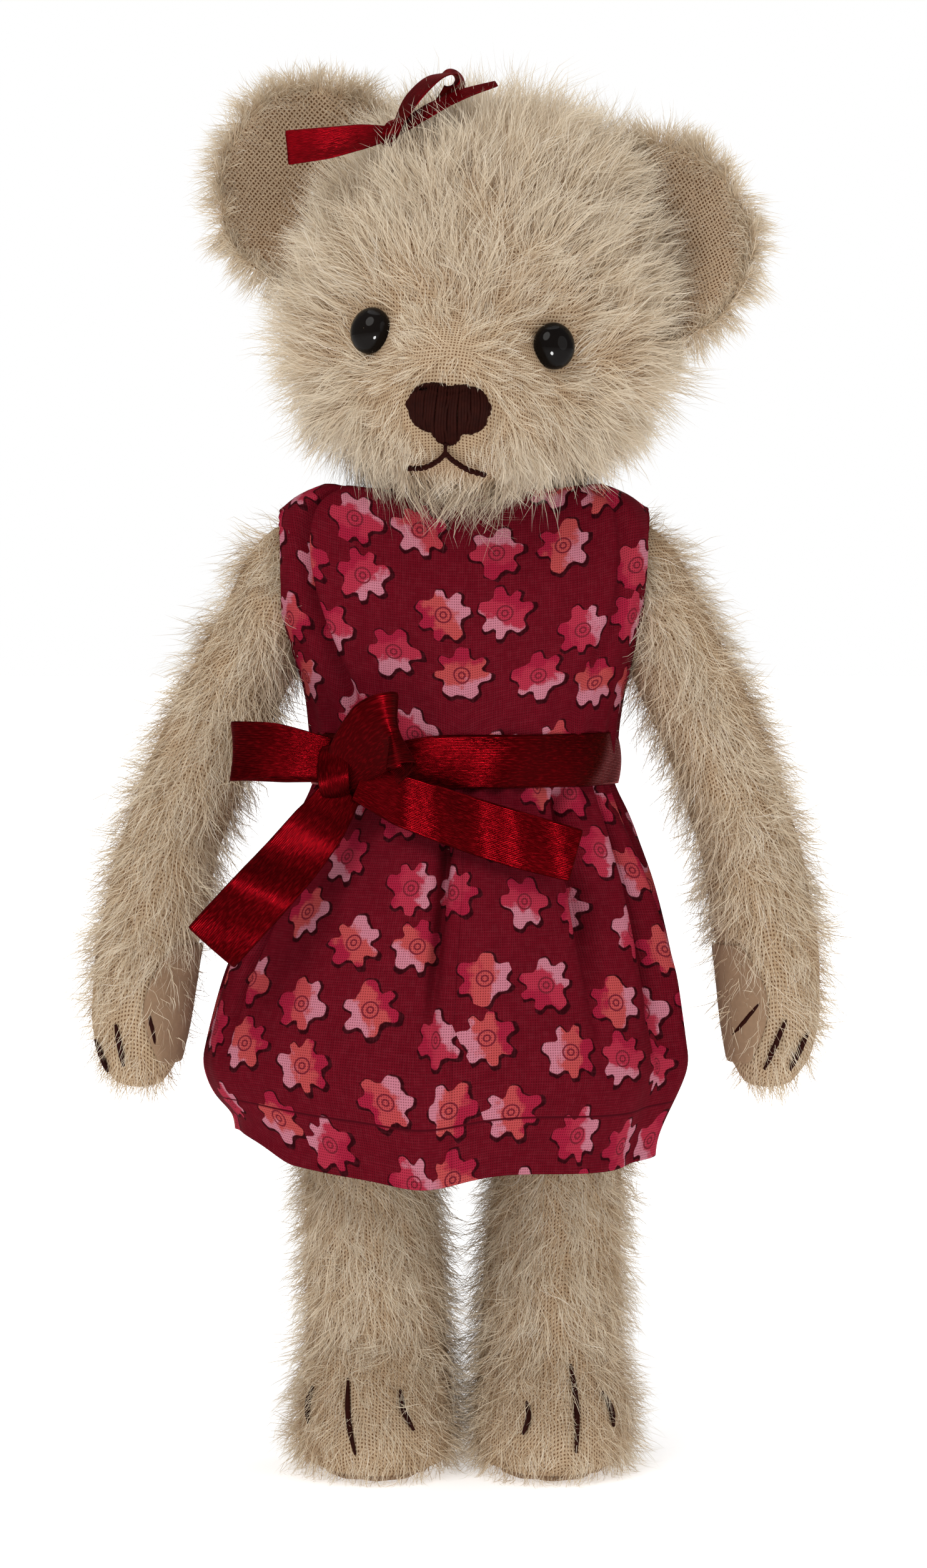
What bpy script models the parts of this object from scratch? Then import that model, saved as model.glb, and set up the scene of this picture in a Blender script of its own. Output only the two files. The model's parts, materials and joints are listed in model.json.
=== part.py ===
"""Jointed mohair teddy bear in a sleeveless cotton dress with ribbon bows.

The head, the arms and the legs each turn on a cotter-pin joint: a disc and a washer inside the
limb, a disc and a washer inside the body, and one split pin through all four and both cloth walls.
Every stuffed piece is a mohair shell, open where its pin passes, around a block of filling.

Frame: the origin is on the floor under the middle of the bear's width and depth, +Z is up, the
bear faces -Y and its left side is +X. Sizes below are in millimetres and become metres when a mesh
is made. Pieces are modelled about the neck joint's axis, and the stand empty sets them back by
STAND_BACK. Left-hand pieces are modelled at +X, and right-hand ones are their mirror images.
"""

import math

import bmesh
import bpy
from mathutils import Matrix, Vector

MM = 0.001

# --- driving dimensions (mm) ---------------------------------------------------------------------
CLEARANCE = 0.3
CLOTH_WALL = 1.0
STAND_BACK = 2.37
FILLING_INSET = CLOTH_WALL + 0.8

NECK_Z = 147.0
SHOULDER_Z = 136.0
HIP_Z = 69.0
WAIST_Z = 108.4
HEM_Z = 47.0

HEAD_TURN = math.radians(-6.0)
HEAD_ROLL = math.radians(5.0)
SKULL_HALF = Vector((26.4, 23.4, 28.0))
MUZZLE_CENTRE = Vector((0.0, -18.5, -12.5))
MUZZLE_HALF = Vector((13.0, 17.0, 11.5))
MUZZLE_BLEND = 6.0

EAR_RADIUS = 13.2
EAR_THICKNESS = 2.4
EAR_DISTANCE = 30.2
EAR_LIFT = math.radians(31.5)
EYE_RADIUS = 3.0
EYE_X = 13.7
EYE_Z = -3.0
EYE_STANDS_OFF = 1.7

WIRE_RADIUS = 0.28
PIN_HOLE_RADIUS = 1.0
DISC_THICKNESS = 0.8
WASHER_THICKNESS = 0.4

PAW_PAD_TOP = 82.0
PAW_PAD_FOOT = 65.0
PAW_PAD_THICKNESS = 0.7
SOLE_THICKNESS = 1.2
SOLE_CENTRE = (13.3, -5.0)
SOLE_HALF = (9.6, 14.4)

RIBBON_THICKNESS = 0.5
SASH_WIDTH = 7.9
HAIR_RIBBON_WIDTH = 5.0
THREAD_RADIUS = 0.3
LOOP_ROOT_GAP = 0.6

# Level sections, top to bottom: height, centre x, centre y, half width in x, half width in y.
TORSO = [
    (146.0, 0, 0, 8.5, 7.5),
    (144.6, 0, 0, 13.0, 10.6),
    (141.6, 0, 0, 17.0, 12.8),
    (136.0, 0, 0, 18.5, 14.4),
    (128.0, 0, 0, 18.8, 15.8),
    (116.0, 0, 0, 19.4, 17.0),
    (104.0, 0, 0, 19.8, 17.8),
    (94.0, 0, 0, 19.4, 18.4),
    (87.0, 0, 0, 16.0, 18.2),
    (81.5, 0, 0, 10.4, 17.2),
    (75.0, 0, 0, 9.8, 15.6),
    (69.0, 0, 0, 9.6, 13.8),
    (63.5, 0, 0, 8.0, 10.4),
    (60.5, 0, 0, 5.0, 6.0),
]
ARM = [
    (143.4, 25.6, 0, 2.4, 2.2),
    (141.8, 25.8, 0, 4.8, 4.4),
    (139.0, 26.1, 0, 6.3, 6.3),
    (135.5, 26.8, 0, 7.2, 7.3),
    (129.0, 29.6, 0, 7.6, 7.6),
    (120.0, 34.2, -0.4, 7.8, 7.8),
    (108.0, 39.6, -1.2, 7.5, 7.8),
    (95.0, 44.0, -2.3, 7.3, 7.8),
    (81.0, 46.6, -3.4, 7.4, 7.9),
    (71.0, 47.2, -4.0, 7.0, 7.5),
    (65.0, 47.0, -4.3, 5.6, 6.0),
    (62.0, 46.7, -4.4, 3.0, 3.4),
]
LEG = [
    (80.3, 17.8, 0, 2.6, 3.6),
    (79.0, 17.8, 0, 4.8, 6.6),
    (76.0, 17.8, 0, 6.6, 9.4),
    (69.0, 17.8, 0, 7.2, 11.2),
    (61.5, 17.6, 0, 7.2, 11.3),
    (55.0, 16.4, 0, 8.0, 11.2),
    (46.0, 14.6, 0, 9.0, 11.0),
    (32.0, 13.6, 0, 9.8, 10.4),
    (19.0, 13.2, -0.8, 10.0, 10.8),
    (12.0, 13.3, -3.5, 10.8, 13.8),
    (7.0, 13.3, -5.0, 11.2, 16.0),
    (3.2, 13.3, -5.0, 10.8, 15.8),
    (SOLE_THICKNESS + 2 * CLEARANCE, 13.3, -5.0, 9.8, 14.8),
]
BODICE = [
    (147.9, 0, 0, 14.6, 11.4),
    (147.4, 0, 0, 20.0, 11.8),
    (145.9, 0, 0, 24.5, 12.8),
    (143.0, 0, 0, 26.6, 14.0),
    (137.0, 0, 0, 27.0, 16.4),
    (129.0, 0, 0, 25.6, 18.0),
    (119.0, 0, 0, 23.4, 19.0),
    (107.2, 0, 0, 22.2, 19.6),
]
SKIRT = [
    (106.4, 0, 0, 22.2, 19.6),
    (103.4, 0, 0, 22.7, 20.1),
    (98.0, 0, 0, 24.6, 22.0),
    (90.0, 0, 0, 27.6, 24.6),
    (76.0, 0, 0, 32.2, 28.0),
    (61.0, 0, 0, 35.6, 30.4),
    (HEM_Z, 0, 0, 36.6, 31.4),
]
# The armhole's flare, turned about the shoulder axis: radius, and distance from the middle plane.
ARMHOLE = [(0.0, 19.0), (7.8, 19.0), (9.2, 22.0), (13.0, 24.5), (16.4, 26.5), (22.0, 30.0), (0.0, 30.0)]
SKIRT_PLEATS = 12
PLEAT_DEPTH = 1.0
PLEATS_OPEN_OVER = 20.0

# Bow loops: name, where the loop leaves the knot, its far end and how far it stands open.
SASH_LOOPS = [
    ("outer", (-14.2, -21.6, 110.4), (-32.5, -19.2, 109.6), 1.6),
    ("inner", (-12.2, -21.0, 111.2), (-3.5, -26.0, 116.0), 2.2),
]
SASH_TAILS = [
    (
        "sash_tail_right", (0.80, 0, -0.60),
        [(-18.0, -23.2, 103.2), (-23.0, -26.0, 98.0), (-29.0, -28.6, 90.0), (-34.5, -27.4, 81.5)],
    ),
    (
        "sash_tail_left", (0.42, 0, 0.90),
        [(-9.0, -24.0, 104.4), (-1.0, -26.6, 100.0), (8.0, -28.4, 95.4), (16.5, -28.4, 91.5)],
    ),
]
HAIR_LOOPS = [
    ("outer", (-15.4, -9.6, 53.2), (-27.5, -12.5, 50.5), 1.5),
    ("inner", (-13.8, -9.3, 53.9), (-4.0, -11.0, 59.5), 1.5),
]

# A joint's stack is measured along its pin, outward from the body's middle plane or base: where the
# body disc, the limb disc and the pin's two ends start.
SHOULDER_STACK = {"body_disc": 14.4, "limb_disc": 23.3, "disc_radius": 3.8}
HIP_STACK = {"body_disc": 6.2, "limb_disc": 13.0, "disc_radius": 4.6}
NECK_STACK = {"body_disc": 143.4, "limb_disc": 149.8, "disc_radius": 5.0}
WASHER_RADIUS = 2.6

COLOURS = {
    "mohair": ((0.62, 0.50, 0.34), 0.95, 0.0),
    "filling": ((0.80, 0.78, 0.72), 1.0, 0.0),
    "hardboard": ((0.30, 0.18, 0.09), 0.8, 0.0),
    "steel": ((0.60, 0.60, 0.60), 0.35, 1.0),
    "suede": ((0.55, 0.42, 0.26), 0.9, 0.0),
    "glass_eye": ((0.01, 0.01, 0.01), 0.08, 0.0),
    "thread": ((0.06, 0.02, 0.01), 0.6, 0.0),
    "cotton": ((0.25, 0.01, 0.03), 0.85, 0.0),
    "satin": ((0.22, 0.0, 0.01), 0.35, 0.0),
}


# --- scene and materials -------------------------------------------------------------------------
def clear_scene():
    for obj in list(bpy.data.objects):
        bpy.data.objects.remove(obj, do_unlink=True)


def collection(name):
    made = bpy.data.collections.new(name)
    bpy.context.scene.collection.children.link(made)
    return made


def material(kind):
    if kind in bpy.data.materials:
        return bpy.data.materials[kind]
    colour, roughness, metallic = COLOURS[kind]
    made = bpy.data.materials.new(kind)
    made.use_nodes = True
    shader = made.node_tree.nodes["Principled BSDF"]
    shader.inputs["Base Color"].default_value = (*colour, 1.0)
    shader.inputs["Roughness"].default_value = roughness
    shader.inputs["Metallic"].default_value = metallic
    return made


def make_stand():
    """The empty that carries every piece, set back so that the bear is centred over the origin."""
    empty = bpy.data.objects.new("stand", None)
    empty.location.y = STAND_BACK * MM
    PARTS.objects.link(empty)
    return empty


clear_scene()
PARTS = collection("jointed_teddy_bear")
CUTTERS = collection("cutters")
STAND = make_stand()


def place(name, data, kind, parent=None, matrix=None):
    """Link a mesh or curve as a named part, or as a cutter when kind is None."""
    obj = bpy.data.objects.new(name, data)
    if kind is None:
        CUTTERS.objects.link(obj)
        obj.hide_render = True
        obj.display_type = "WIRE"
    else:
        PARTS.objects.link(obj)
        data.materials.append(material(kind))
    if matrix is not None:
        obj.matrix_local = matrix
    obj.parent = parent or STAND
    return obj


def mesh_from(bm, name, side=1):
    """Turn a bmesh in millimetres into a mesh in metres, mirrored in x when side is -1."""
    bmesh.ops.scale(bm, vec=(side * MM, MM, MM), verts=bm.verts)
    if side < 0:
        bmesh.ops.reverse_faces(bm, faces=bm.faces)
    mesh = bpy.data.meshes.new(name)
    bm.to_mesh(mesh)
    bm.free()
    mesh.shade_smooth()
    mesh.set_sharp_from_angle(angle=math.radians(50))
    return mesh


def cut(target, *cutters):
    for cutter in cutters:
        boolean = target.modifiers.new(cutter.name, "BOOLEAN")
        boolean.operation = "DIFFERENCE"
        boolean.object = cutter


def inset(obj, distance):
    """Move a closed skin inward along its normals by a distance in millimetres."""
    displace = obj.modifiers.new("inset", "DISPLACE")
    displace.strength = -distance * MM
    displace.mid_level = 0.0


def thicken(obj, thickness, outward=False):
    solidify = obj.modifiers.new("thickness", "SOLIDIFY")
    solidify.thickness = thickness * MM
    solidify.offset = 1.0 if outward else -1.0
    solidify.use_even_offset = True


# --- lofted skins --------------------------------------------------------------------------------
def loft_rings(bm, stations, angles, ripple=None):
    rings = []
    for z, cx, cy, hx, hy in stations:
        ring = []
        for angle in angles:
            out = ripple(z, angle) if ripple else 0.0
            x = cx + (hx + out) * math.cos(angle)
            y = cy + (hy + out) * math.sin(angle)
            ring.append(bm.verts.new((x, y, z)))
        rings.append(ring)
    return rings


def join_rings(bm, rings, closed):
    for upper, lower in zip(rings, rings[1:]):
        count = len(upper)
        for i in range(count if closed else count - 1):
            j = (i + 1) % count
            bm.faces.new((upper[i], lower[i], lower[j], upper[j]))


def skin_mesh(name, stations, segments, side=1):
    """A closed skin through level ellipses, with flat ends."""
    bm = bmesh.new()
    rings = loft_rings(bm, stations, [math.tau * i / segments for i in range(segments)])
    join_rings(bm, rings, closed=True)
    bm.faces.new(rings[0])
    bm.faces.new(reversed(rings[-1]))
    return mesh_from(bm, name, side)


def band_mesh(name, stations, first, last, columns, ripple=None, side=1):
    """An open strip of cloth through level ellipses, from one angle to another, or all round."""
    closed = last - first > math.tau - 1e-6
    steps = columns if closed else columns + 1
    bm = bmesh.new()
    angles = [first + (last - first) * i / columns for i in range(steps)]
    join_rings(bm, loft_rings(bm, stations, angles, ripple), closed)
    return mesh_from(bm, name, side)


def between(stations, z):
    """The section at a height, taken between the listed ones."""
    for upper, lower in zip(stations, stations[1:]):
        if lower[0] <= z <= upper[0]:
            share = (upper[0] - z) / (upper[0] - lower[0])
            return [a + (b - a) * share for a, b in zip(upper, lower)]
    raise ValueError(f"no section at {z}")


def point_on(stations, z, angle, out):
    _, cx, cy, hx, hy = between(stations, z)
    return Vector((cx + (hx + out) * math.cos(angle), cy + (hy + out) * math.sin(angle), z))


# --- joints --------------------------------------------------------------------------------------
def axis_matrix(axis, origin, side=1):
    """Places +Z geometry so that its +Z runs outward along a joint's pin."""
    if axis == "x":
        turn = Matrix.Rotation(side * math.pi / 2, 4, "Y")
    else:
        turn = Matrix.Identity(4)
    return Matrix.Translation(Vector(origin) * MM) @ turn


def rod_mesh(name, radius, start, end, segments):
    bm = bmesh.new()
    centre = Matrix.Translation((0, 0, (start + end) / 2))
    bmesh.ops.create_cone(
        bm, cap_ends=True, segments=segments, radius1=radius, radius2=radius,
        depth=end - start, matrix=centre,
    )
    return mesh_from(bm, name)


def outline_mesh(name, profile, closed=False):
    """A turning profile of (radius, height) points, which runs down its outer side."""
    bm = bmesh.new()
    verts = [bm.verts.new((radius * MM, 0, height * MM)) for radius, height in profile]
    for a, b in zip(verts, verts[1:]):
        bm.edges.new((a, b))
    if closed:
        bm.edges.new((verts[-1], verts[0]))
    mesh = bpy.data.meshes.new(name)
    bm.to_mesh(mesh)
    bm.free()
    return mesh


def ring_mesh(name, radius, hole, start, thickness):
    """The section of a flat ring, ready to be turned."""
    end = start + thickness
    return outline_mesh(name, [(radius, end), (radius, start), (hole, start), (hole, end)], True)


def turned(obj, segments):
    screw = obj.modifiers.new("turned", "SCREW")
    screw.steps = segments
    screw.render_steps = segments
    screw.use_merge_vertices = True
    screw.merge_threshold = 0.00001
    screw.use_normal_calculate = False


def wire(name, points, radius, kind, parent=None, matrix=None):
    """A round wire or thread along straight runs between points, in millimetres."""
    curve = bpy.data.curves.new(name, "CURVE")
    curve.dimensions = "3D"
    curve.bevel_depth = radius * MM
    curve.bevel_resolution = 0
    curve.use_fill_caps = True
    spline = curve.splines.new("POLY")
    spline.points.add(len(points) - 1)
    for target, point in zip(spline.points, points):
        target.co = (*(Vector(point) * MM), 1.0)
    return place(name, curve, kind, parent, matrix)


def split_pin_points(eye_at, curl_at):
    """A cotter pin: one wire folded round its eye, its two legs together, each end curled back."""
    half_gap = WIRE_RADIUS + 0.1
    eye_radius = 1.15
    curl_radius = 0.8
    opening = math.asin(half_gap / eye_radius)
    eye = []
    for i in range(9):
        angle = opening + (math.tau - 2 * opening) * i / 8
        along = eye_at + eye_radius * (1 - math.cos(angle))
        eye.append((eye_radius * math.sin(angle), 0, along))
    curl = []
    for i in range(1, 5):
        angle = math.radians(50) * i
        x = half_gap + curl_radius * (1 - math.cos(angle))
        curl.append((x, 0, curl_at - curl_radius * math.sin(angle)))
    first = [(half_gap, 0, curl_at)]
    mirror = [(-x, y, z) for x, y, z in first + curl]
    return list(reversed(curl)) + first + eye + mirror


def joint_hardware(name, stack, place_at):
    """The discs, washers and split pin of one joint. Returns the cutters that clear room for them."""
    disc_radius = stack["disc_radius"]
    body_disc = stack["body_disc"]
    limb_disc = stack["limb_disc"]
    body_washer = body_disc - CLEARANCE - WASHER_THICKNESS
    limb_washer = limb_disc + DISC_THICKNESS + CLEARANCE
    flats = [
        ("body_disc", body_disc, disc_radius, DISC_THICKNESS, "hardboard", 12),
        ("body_washer", body_washer, WASHER_RADIUS, WASHER_THICKNESS, "steel", 8),
        ("disc", limb_disc, disc_radius, DISC_THICKNESS, "hardboard", 12),
        ("washer", limb_washer, WASHER_RADIUS, WASHER_THICKNESS, "steel", 8),
    ]
    for label, start, radius, thickness, kind, segments in flats:
        full = f"{name}_{label}"
        mesh = ring_mesh(full, radius, PIN_HOLE_RADIUS, start, thickness)
        turned(place(full, mesh, kind, matrix=place_at), segments)
    curl_at = body_washer - CLEARANCE - WIRE_RADIUS
    eye_at = limb_washer + WASHER_THICKNESS + CLEARANCE + WIRE_RADIUS
    points = split_pin_points(eye_at, curl_at)
    wire(f"{name}_split_pin", points, WIRE_RADIUS, "steel", matrix=place_at)
    room = disc_radius + 2 * CLEARANCE
    inner_end = curl_at - 1.6
    outer_end = eye_at + 3.2
    spans = (
        ("hole", PIN_HOLE_RADIUS, inner_end, outer_end, 8),
        ("body_room", room, inner_end, body_disc + 3.0, 12),
        ("limb_room", room, limb_disc - 3.0, outer_end, 12),
    )
    cutters = []
    for label, radius, start, end, segments in spans:
        mesh = rod_mesh(label, radius, start, end, segments)
        cutters.append(place(f"{name}_{label}", mesh, None, matrix=place_at))
    return cutters


def make_head_pivot():
    """The head's own frame, on the neck joint, turned and tilted as the head rests."""
    empty = bpy.data.objects.new("head_pivot", None)
    PARTS.objects.link(empty)
    empty.location = (0, 0, NECK_Z * MM)
    empty.rotation_euler = (0, HEAD_ROLL, HEAD_TURN)
    empty.parent = STAND
    return empty


# --- stuffed pieces ------------------------------------------------------------------------------
def stuffed(name, mesh, holes, rooms, parent=None):
    """A cloth shell, hollowed and pierced by its holes, and the filling inside it."""
    cavity = place(f"{name}_cavity", mesh.copy(), None, parent)
    inset(cavity, CLOTH_WALL)
    shell = place(f"{name}_shell", mesh, "mohair", parent)
    cut(shell, cavity, *holes)
    filling = place(f"{name}_stuffing", mesh.copy(), "filling", parent)
    filling.data.materials.clear()
    filling.data.materials.append(material("filling"))
    inset(filling, FILLING_INSET)
    cut(filling, *rooms)


# --- head ----------------------------------------------------------------------------------------
def head_distance(direction):
    """How far the head's surface lies from the skull's centre, with the muzzle blended in."""
    d = direction.normalized()
    skull = 1.0 / math.sqrt(sum((a / b) ** 2 for a, b in zip(d, SKULL_HALF)))
    a = sum((u / m) ** 2 for u, m in zip(d, MUZZLE_HALF))
    b = -2.0 * sum(u * c / m**2 for u, c, m in zip(d, MUZZLE_CENTRE, MUZZLE_HALF))
    c = sum((q / m) ** 2 for q, m in zip(MUZZLE_CENTRE, MUZZLE_HALF)) - 1.0
    inside = b * b - 4.0 * a * c
    if inside <= 0.0:
        return skull
    muzzle = max(0.0, (-b + math.sqrt(inside)) / (2.0 * a))
    return (skull**MUZZLE_BLEND + muzzle**MUZZLE_BLEND) ** (1.0 / MUZZLE_BLEND)


def head_front(x, z, out=0.0):
    """The point of the head's front at a sideways and an upward distance from its centre."""
    near, far = 0.0, 60.0
    for _ in range(40):
        middle = (near + far) / 2
        point = Vector((x, -middle, z))
        if point.length < head_distance(point) + out:
            near = middle
        else:
            far = middle
    return Vector((x, -near, z))


def head_mesh(name, around, down):
    bm = bmesh.new()
    bmesh.ops.create_uvsphere(bm, u_segments=around, v_segments=down, radius=1.0)
    for vert in bm.verts:
        vert.co = vert.co.normalized() * head_distance(vert.co)
    bmesh.ops.translate(bm, vec=(0, 0, SKULL_HALF.z), verts=bm.verts)
    return mesh_from(bm, name)


def head_patch(name, rows, columns, half_width, kind, thickness, parent):
    """A pad that follows the head's front between rows of heights, as wide as half_width gives."""
    bm = bmesh.new()
    grid = []
    for z in rows:
        line = []
        for j in range(columns + 1):
            x = half_width(z) * (2 * j / columns - 1)
            line.append(bm.verts.new(head_front(x, z, CLEARANCE) + Vector((0, 0, SKULL_HALF.z))))
        grid.append(line)
    join_rings(bm, grid, closed=False)
    thicken(place(name, mesh_from(bm, name), kind, parent), thickness, outward=True)


def nose_half_width(z):
    """A rounded T: wide above, narrow at the foot."""
    share = (z + 10.0) / -9.0
    return 6.0 * (1.0 - 0.72 * max(0.0, min(1.0, share)) ** 1.4)


def make_ear(name, side, head_pivot, head_cutter):
    """A cupped half-disc: a shallow bowl cut back to the head's side."""
    rings = 5
    segments = 20
    cup_depth = 4.5
    bm = bmesh.new()
    centre = bm.verts.new((0, 0, 0))
    previous = None
    for r in range(1, rings + 1):
        radius = EAR_RADIUS * r / rings
        depth = -cup_depth * (r / rings) ** 2
        ring = []
        for i in range(segments):
            angle = math.tau * i / segments
            ring.append(bm.verts.new((radius * math.cos(angle), depth, radius * math.sin(angle))))
        for i in range(segments):
            j = (i + 1) % segments
            if previous is None:
                bm.faces.new((centre, ring[i], ring[j]))
            else:
                bm.faces.new((previous[i], ring[i], ring[j], previous[j]))
        previous = ring
    lean = Matrix.Rotation(math.radians(-12), 4, "X")
    inward = Matrix.Rotation(math.radians(-20), 4, "Z")
    tilt = Matrix.Rotation(math.pi / 2 - EAR_LIFT, 4, "Y")
    spot = Vector((math.cos(EAR_LIFT), 0, math.sin(EAR_LIFT))) * EAR_DISTANCE
    spot += Vector((0, 1.5, SKULL_HALF.z))
    matrix = Matrix.Translation(spot) @ inward @ tilt @ lean
    bmesh.ops.transform(bm, matrix=matrix, verts=bm.verts)
    obj = place(name, mesh_from(bm, name, side), "mohair", head_pivot)
    thicken(obj, EAR_THICKNESS)
    cut(obj, head_cutter)


def make_eye(name, side, head_pivot):
    """A domed glass button with a wire stem, set into a hole in the head."""
    stem_length = 2.6
    stem_radius = 0.45
    profile = [(0.0, 2.1), (1.1, 1.95), (2.1, 1.5), (2.75, 0.85), (EYE_RADIUS, 0.1), (2.6, -0.2)]
    profile += [(stem_radius, -0.2), (stem_radius, -stem_length), (0.0, -stem_length)]
    spot = head_front(side * EYE_X, EYE_Z, EYE_STANDS_OFF)
    spot.z += SKULL_HALF.z
    facing = Vector((side * 0.35, -1.0, 0.12)).normalized()
    matrix = Matrix.Translation(spot * MM) @ facing.to_track_quat("Z", "Y").to_matrix().to_4x4()
    turned(place(name, outline_mesh(name, profile), "glass_eye", head_pivot, matrix), 16)
    return place(f"{name}_hole", rod_mesh("hole", 1.2, -5.0, 2.5, 10), None, head_pivot, matrix)


def make_head():
    head_pivot = make_head_pivot()
    upright = axis_matrix("z", (0, 0, 0))
    hole, body_room, limb_room = joint_hardware("neck", NECK_STACK, upright)
    eye_holes = [make_eye("eye_left", 1, head_pivot), make_eye("eye_right", -1, head_pivot)]
    skin = head_mesh("head", 24, 16)
    stuffed("head", skin, [hole] + eye_holes, [limb_room] + eye_holes, head_pivot)
    around_head = place("around_head", skin.copy(), None, head_pivot)
    inset(around_head, -CLEARANCE)
    make_ear("ear_left", 1, head_pivot, around_head)
    make_ear("ear_right", -1, head_pivot, around_head)
    nose_rows = [-9.6, -10.6, -12.4, -14.6, -16.6, -18.2]
    head_patch("nose", nose_rows, 8, nose_half_width, "thread", 1.0, head_pivot)
    corner = head_front(4.6, -22.0, CLEARANCE + THREAD_RADIUS)
    middle = head_front(2.4, -20.7, CLEARANCE + THREAD_RADIUS)
    top = head_front(0.0, -19.3, CLEARANCE + THREAD_RADIUS)
    half = [corner, middle]
    mouth = half + [top] + [Vector((-p.x, p.y, p.z)) for p in reversed(half)]
    lift = Vector((0, 0, SKULL_HALF.z))
    wire("mouth_thread", [p + lift for p in mouth], THREAD_RADIUS, "thread", head_pivot)
    make_hair_ribbon(head_pivot)
    return hole, body_room


# --- ribbons -------------------------------------------------------------------------------------
def ribbon(name, path, width, across, parent=None):
    """A flat satin ribbon: its middle line through points, its width along a direction at each."""
    bm = bmesh.new()
    rows = []
    for point, direction in zip(path, across):
        half = Vector(direction).normalized() * width / 2
        rows.append([bm.verts.new(Vector(point) + half), bm.verts.new(Vector(point) - half)])
    join_rings(bm, rows, closed=False)
    obj = place(name, mesh_from(bm, name), "satin", parent)
    thicken(obj, RIBBON_THICKNESS)
    return obj


def loop_path(start, end, fullness, steps):
    """A bow's loop: out and back from the knot, as wide apart as its fullness, seen from above."""
    start, end = Vector(start), Vector(end)
    points = []
    for i in range(steps + 1):
        angle = math.tau * i / steps
        along = (1 - math.cos(angle)) / 2
        bulge = fullness * math.sin(angle) + LOOP_ROOT_GAP * math.cos(angle / 2)
        points.append(start.lerp(end, along) + Vector((0, bulge, 0)))
    return points


def join_solids(obj, others):
    for other in others:
        boolean = obj.modifiers.new(other.name, "BOOLEAN")
        boolean.operation = "UNION"
        boolean.object = other
        other.hide_render = True
        other.display_type = "WIRE"
        PARTS.objects.unlink(other)
        CUTTERS.objects.link(other)


def knot_mesh(name, centre, half, segments):
    """A pillow-shaped knot."""
    bm = bmesh.new()
    bmesh.ops.create_uvsphere(bm, u_segments=segments, v_segments=6, radius=1.0)
    bmesh.ops.scale(bm, vec=half, verts=bm.verts)
    bmesh.ops.translate(bm, vec=centre, verts=bm.verts)
    return mesh_from(bm, name)


def make_sash():
    sash = [
        (WAIST_Z + SASH_WIDTH / 2, 0, 0, 23.7, 21.1),
        (WAIST_Z - SASH_WIDTH / 2, 0, 0, 23.7, 21.1),
    ]
    band = place("sash_band", band_mesh("sash_band", sash, 0, math.tau, 28), "satin")
    thicken(band, RIBBON_THICKNESS)
    knot = (-13.0, -20.8, 111.0)
    bow = place("sash_bow", knot_mesh("sash_bow", knot, (4.4, 2.2, 5.6), 10), "satin")
    upright = (0.05, 0, 1)
    loops = []
    for label, root, tip, fullness in SASH_LOOPS:
        path = loop_path(root, tip, fullness, 10)
        across = [upright] * len(path)
        loops.append(ribbon(f"loop_{label}", path, SASH_WIDTH, across))
    join_solids(bow, loops)
    for name, across, path in SASH_TAILS:
        ribbon(name, path, SASH_WIDTH, [across] * len(path))


def make_hair_ribbon(head_pivot):
    knot = Vector((-14.5, -9.5, 53.5))
    knot_shape = knot_mesh("hair_ribbon", knot, (2.6, 2.2, 2.8), 8)
    bow = place("hair_ribbon", knot_shape, "satin", head_pivot)
    loops = []
    for label, root, tip, fullness in HAIR_LOOPS:
        path = loop_path(root, tip, fullness, 8)
        across = [(0.15, -0.2, 1)] * len(path)
        loops.append(ribbon(f"hair_{label}", path, HAIR_RIBBON_WIDTH, across, head_pivot))
    join_solids(bow, loops)


# --- limbs and pads ------------------------------------------------------------------------------
def claw_points(stations, strokes, spread, out):
    """Three stitched claws from one thread: up and down at each angle, along the foot between them."""
    points = []
    for angle, low, high in strokes:
        heights = (low, (low + high) / 2, high)
        points += [point_on(stations, z, angle - spread, out) for z in heights]
        points += [point_on(stations, z, angle + spread, out) for z in reversed(heights)]
    return points


def make_claws(name, stations, strokes, spread, side):
    points = claw_points(stations, strokes, spread, CLEARANCE + THREAD_RADIUS + 0.4)
    wire(name, [(side * x, y, z) for x, y, z in points], THREAD_RADIUS, "thread")


def make_paw_pad(name, side):
    """An oval pad on the inner side of the paw."""
    facing = math.radians(205)
    steps = 6
    bm = bmesh.new()
    grid = []
    for i in range(steps + 1):
        share = i / steps
        z = PAW_PAD_TOP + (PAW_PAD_FOOT - PAW_PAD_TOP) * share
        opening = math.radians(16 + 44 * math.sin(math.pi * (0.12 + 0.76 * share)))
        angles = [facing + opening * (2 * j / steps - 1) for j in range(steps + 1)]
        grid.append([bm.verts.new(point_on(ARM, z, a, 1.5 * CLEARANCE)) for a in angles])
    join_rings(bm, grid, closed=False)
    thicken(place(name, mesh_from(bm, name, side), "suede"), PAW_PAD_THICKNESS, outward=True)


def make_arm(side, word):
    at_shoulder = (0, 0, SHOULDER_Z)
    matrix = axis_matrix("x", at_shoulder, side)
    hole, body_room, limb_room = joint_hardware(f"shoulder_{word}", SHOULDER_STACK, matrix)
    name = f"arm_{word}"
    stuffed(name, skin_mesh(name, ARM, 12, side), [hole], [limb_room])
    make_paw_pad(f"paw_pad_{word}", side)
    strokes = [(math.radians(a), 64.6, top) for a, top in ((282, 68.0), (302, 70.0), (322, 68.0))]
    make_claws(f"claw_thread_hand_{word}", ARM, strokes, math.radians(4), side)
    return hole, body_room


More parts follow.
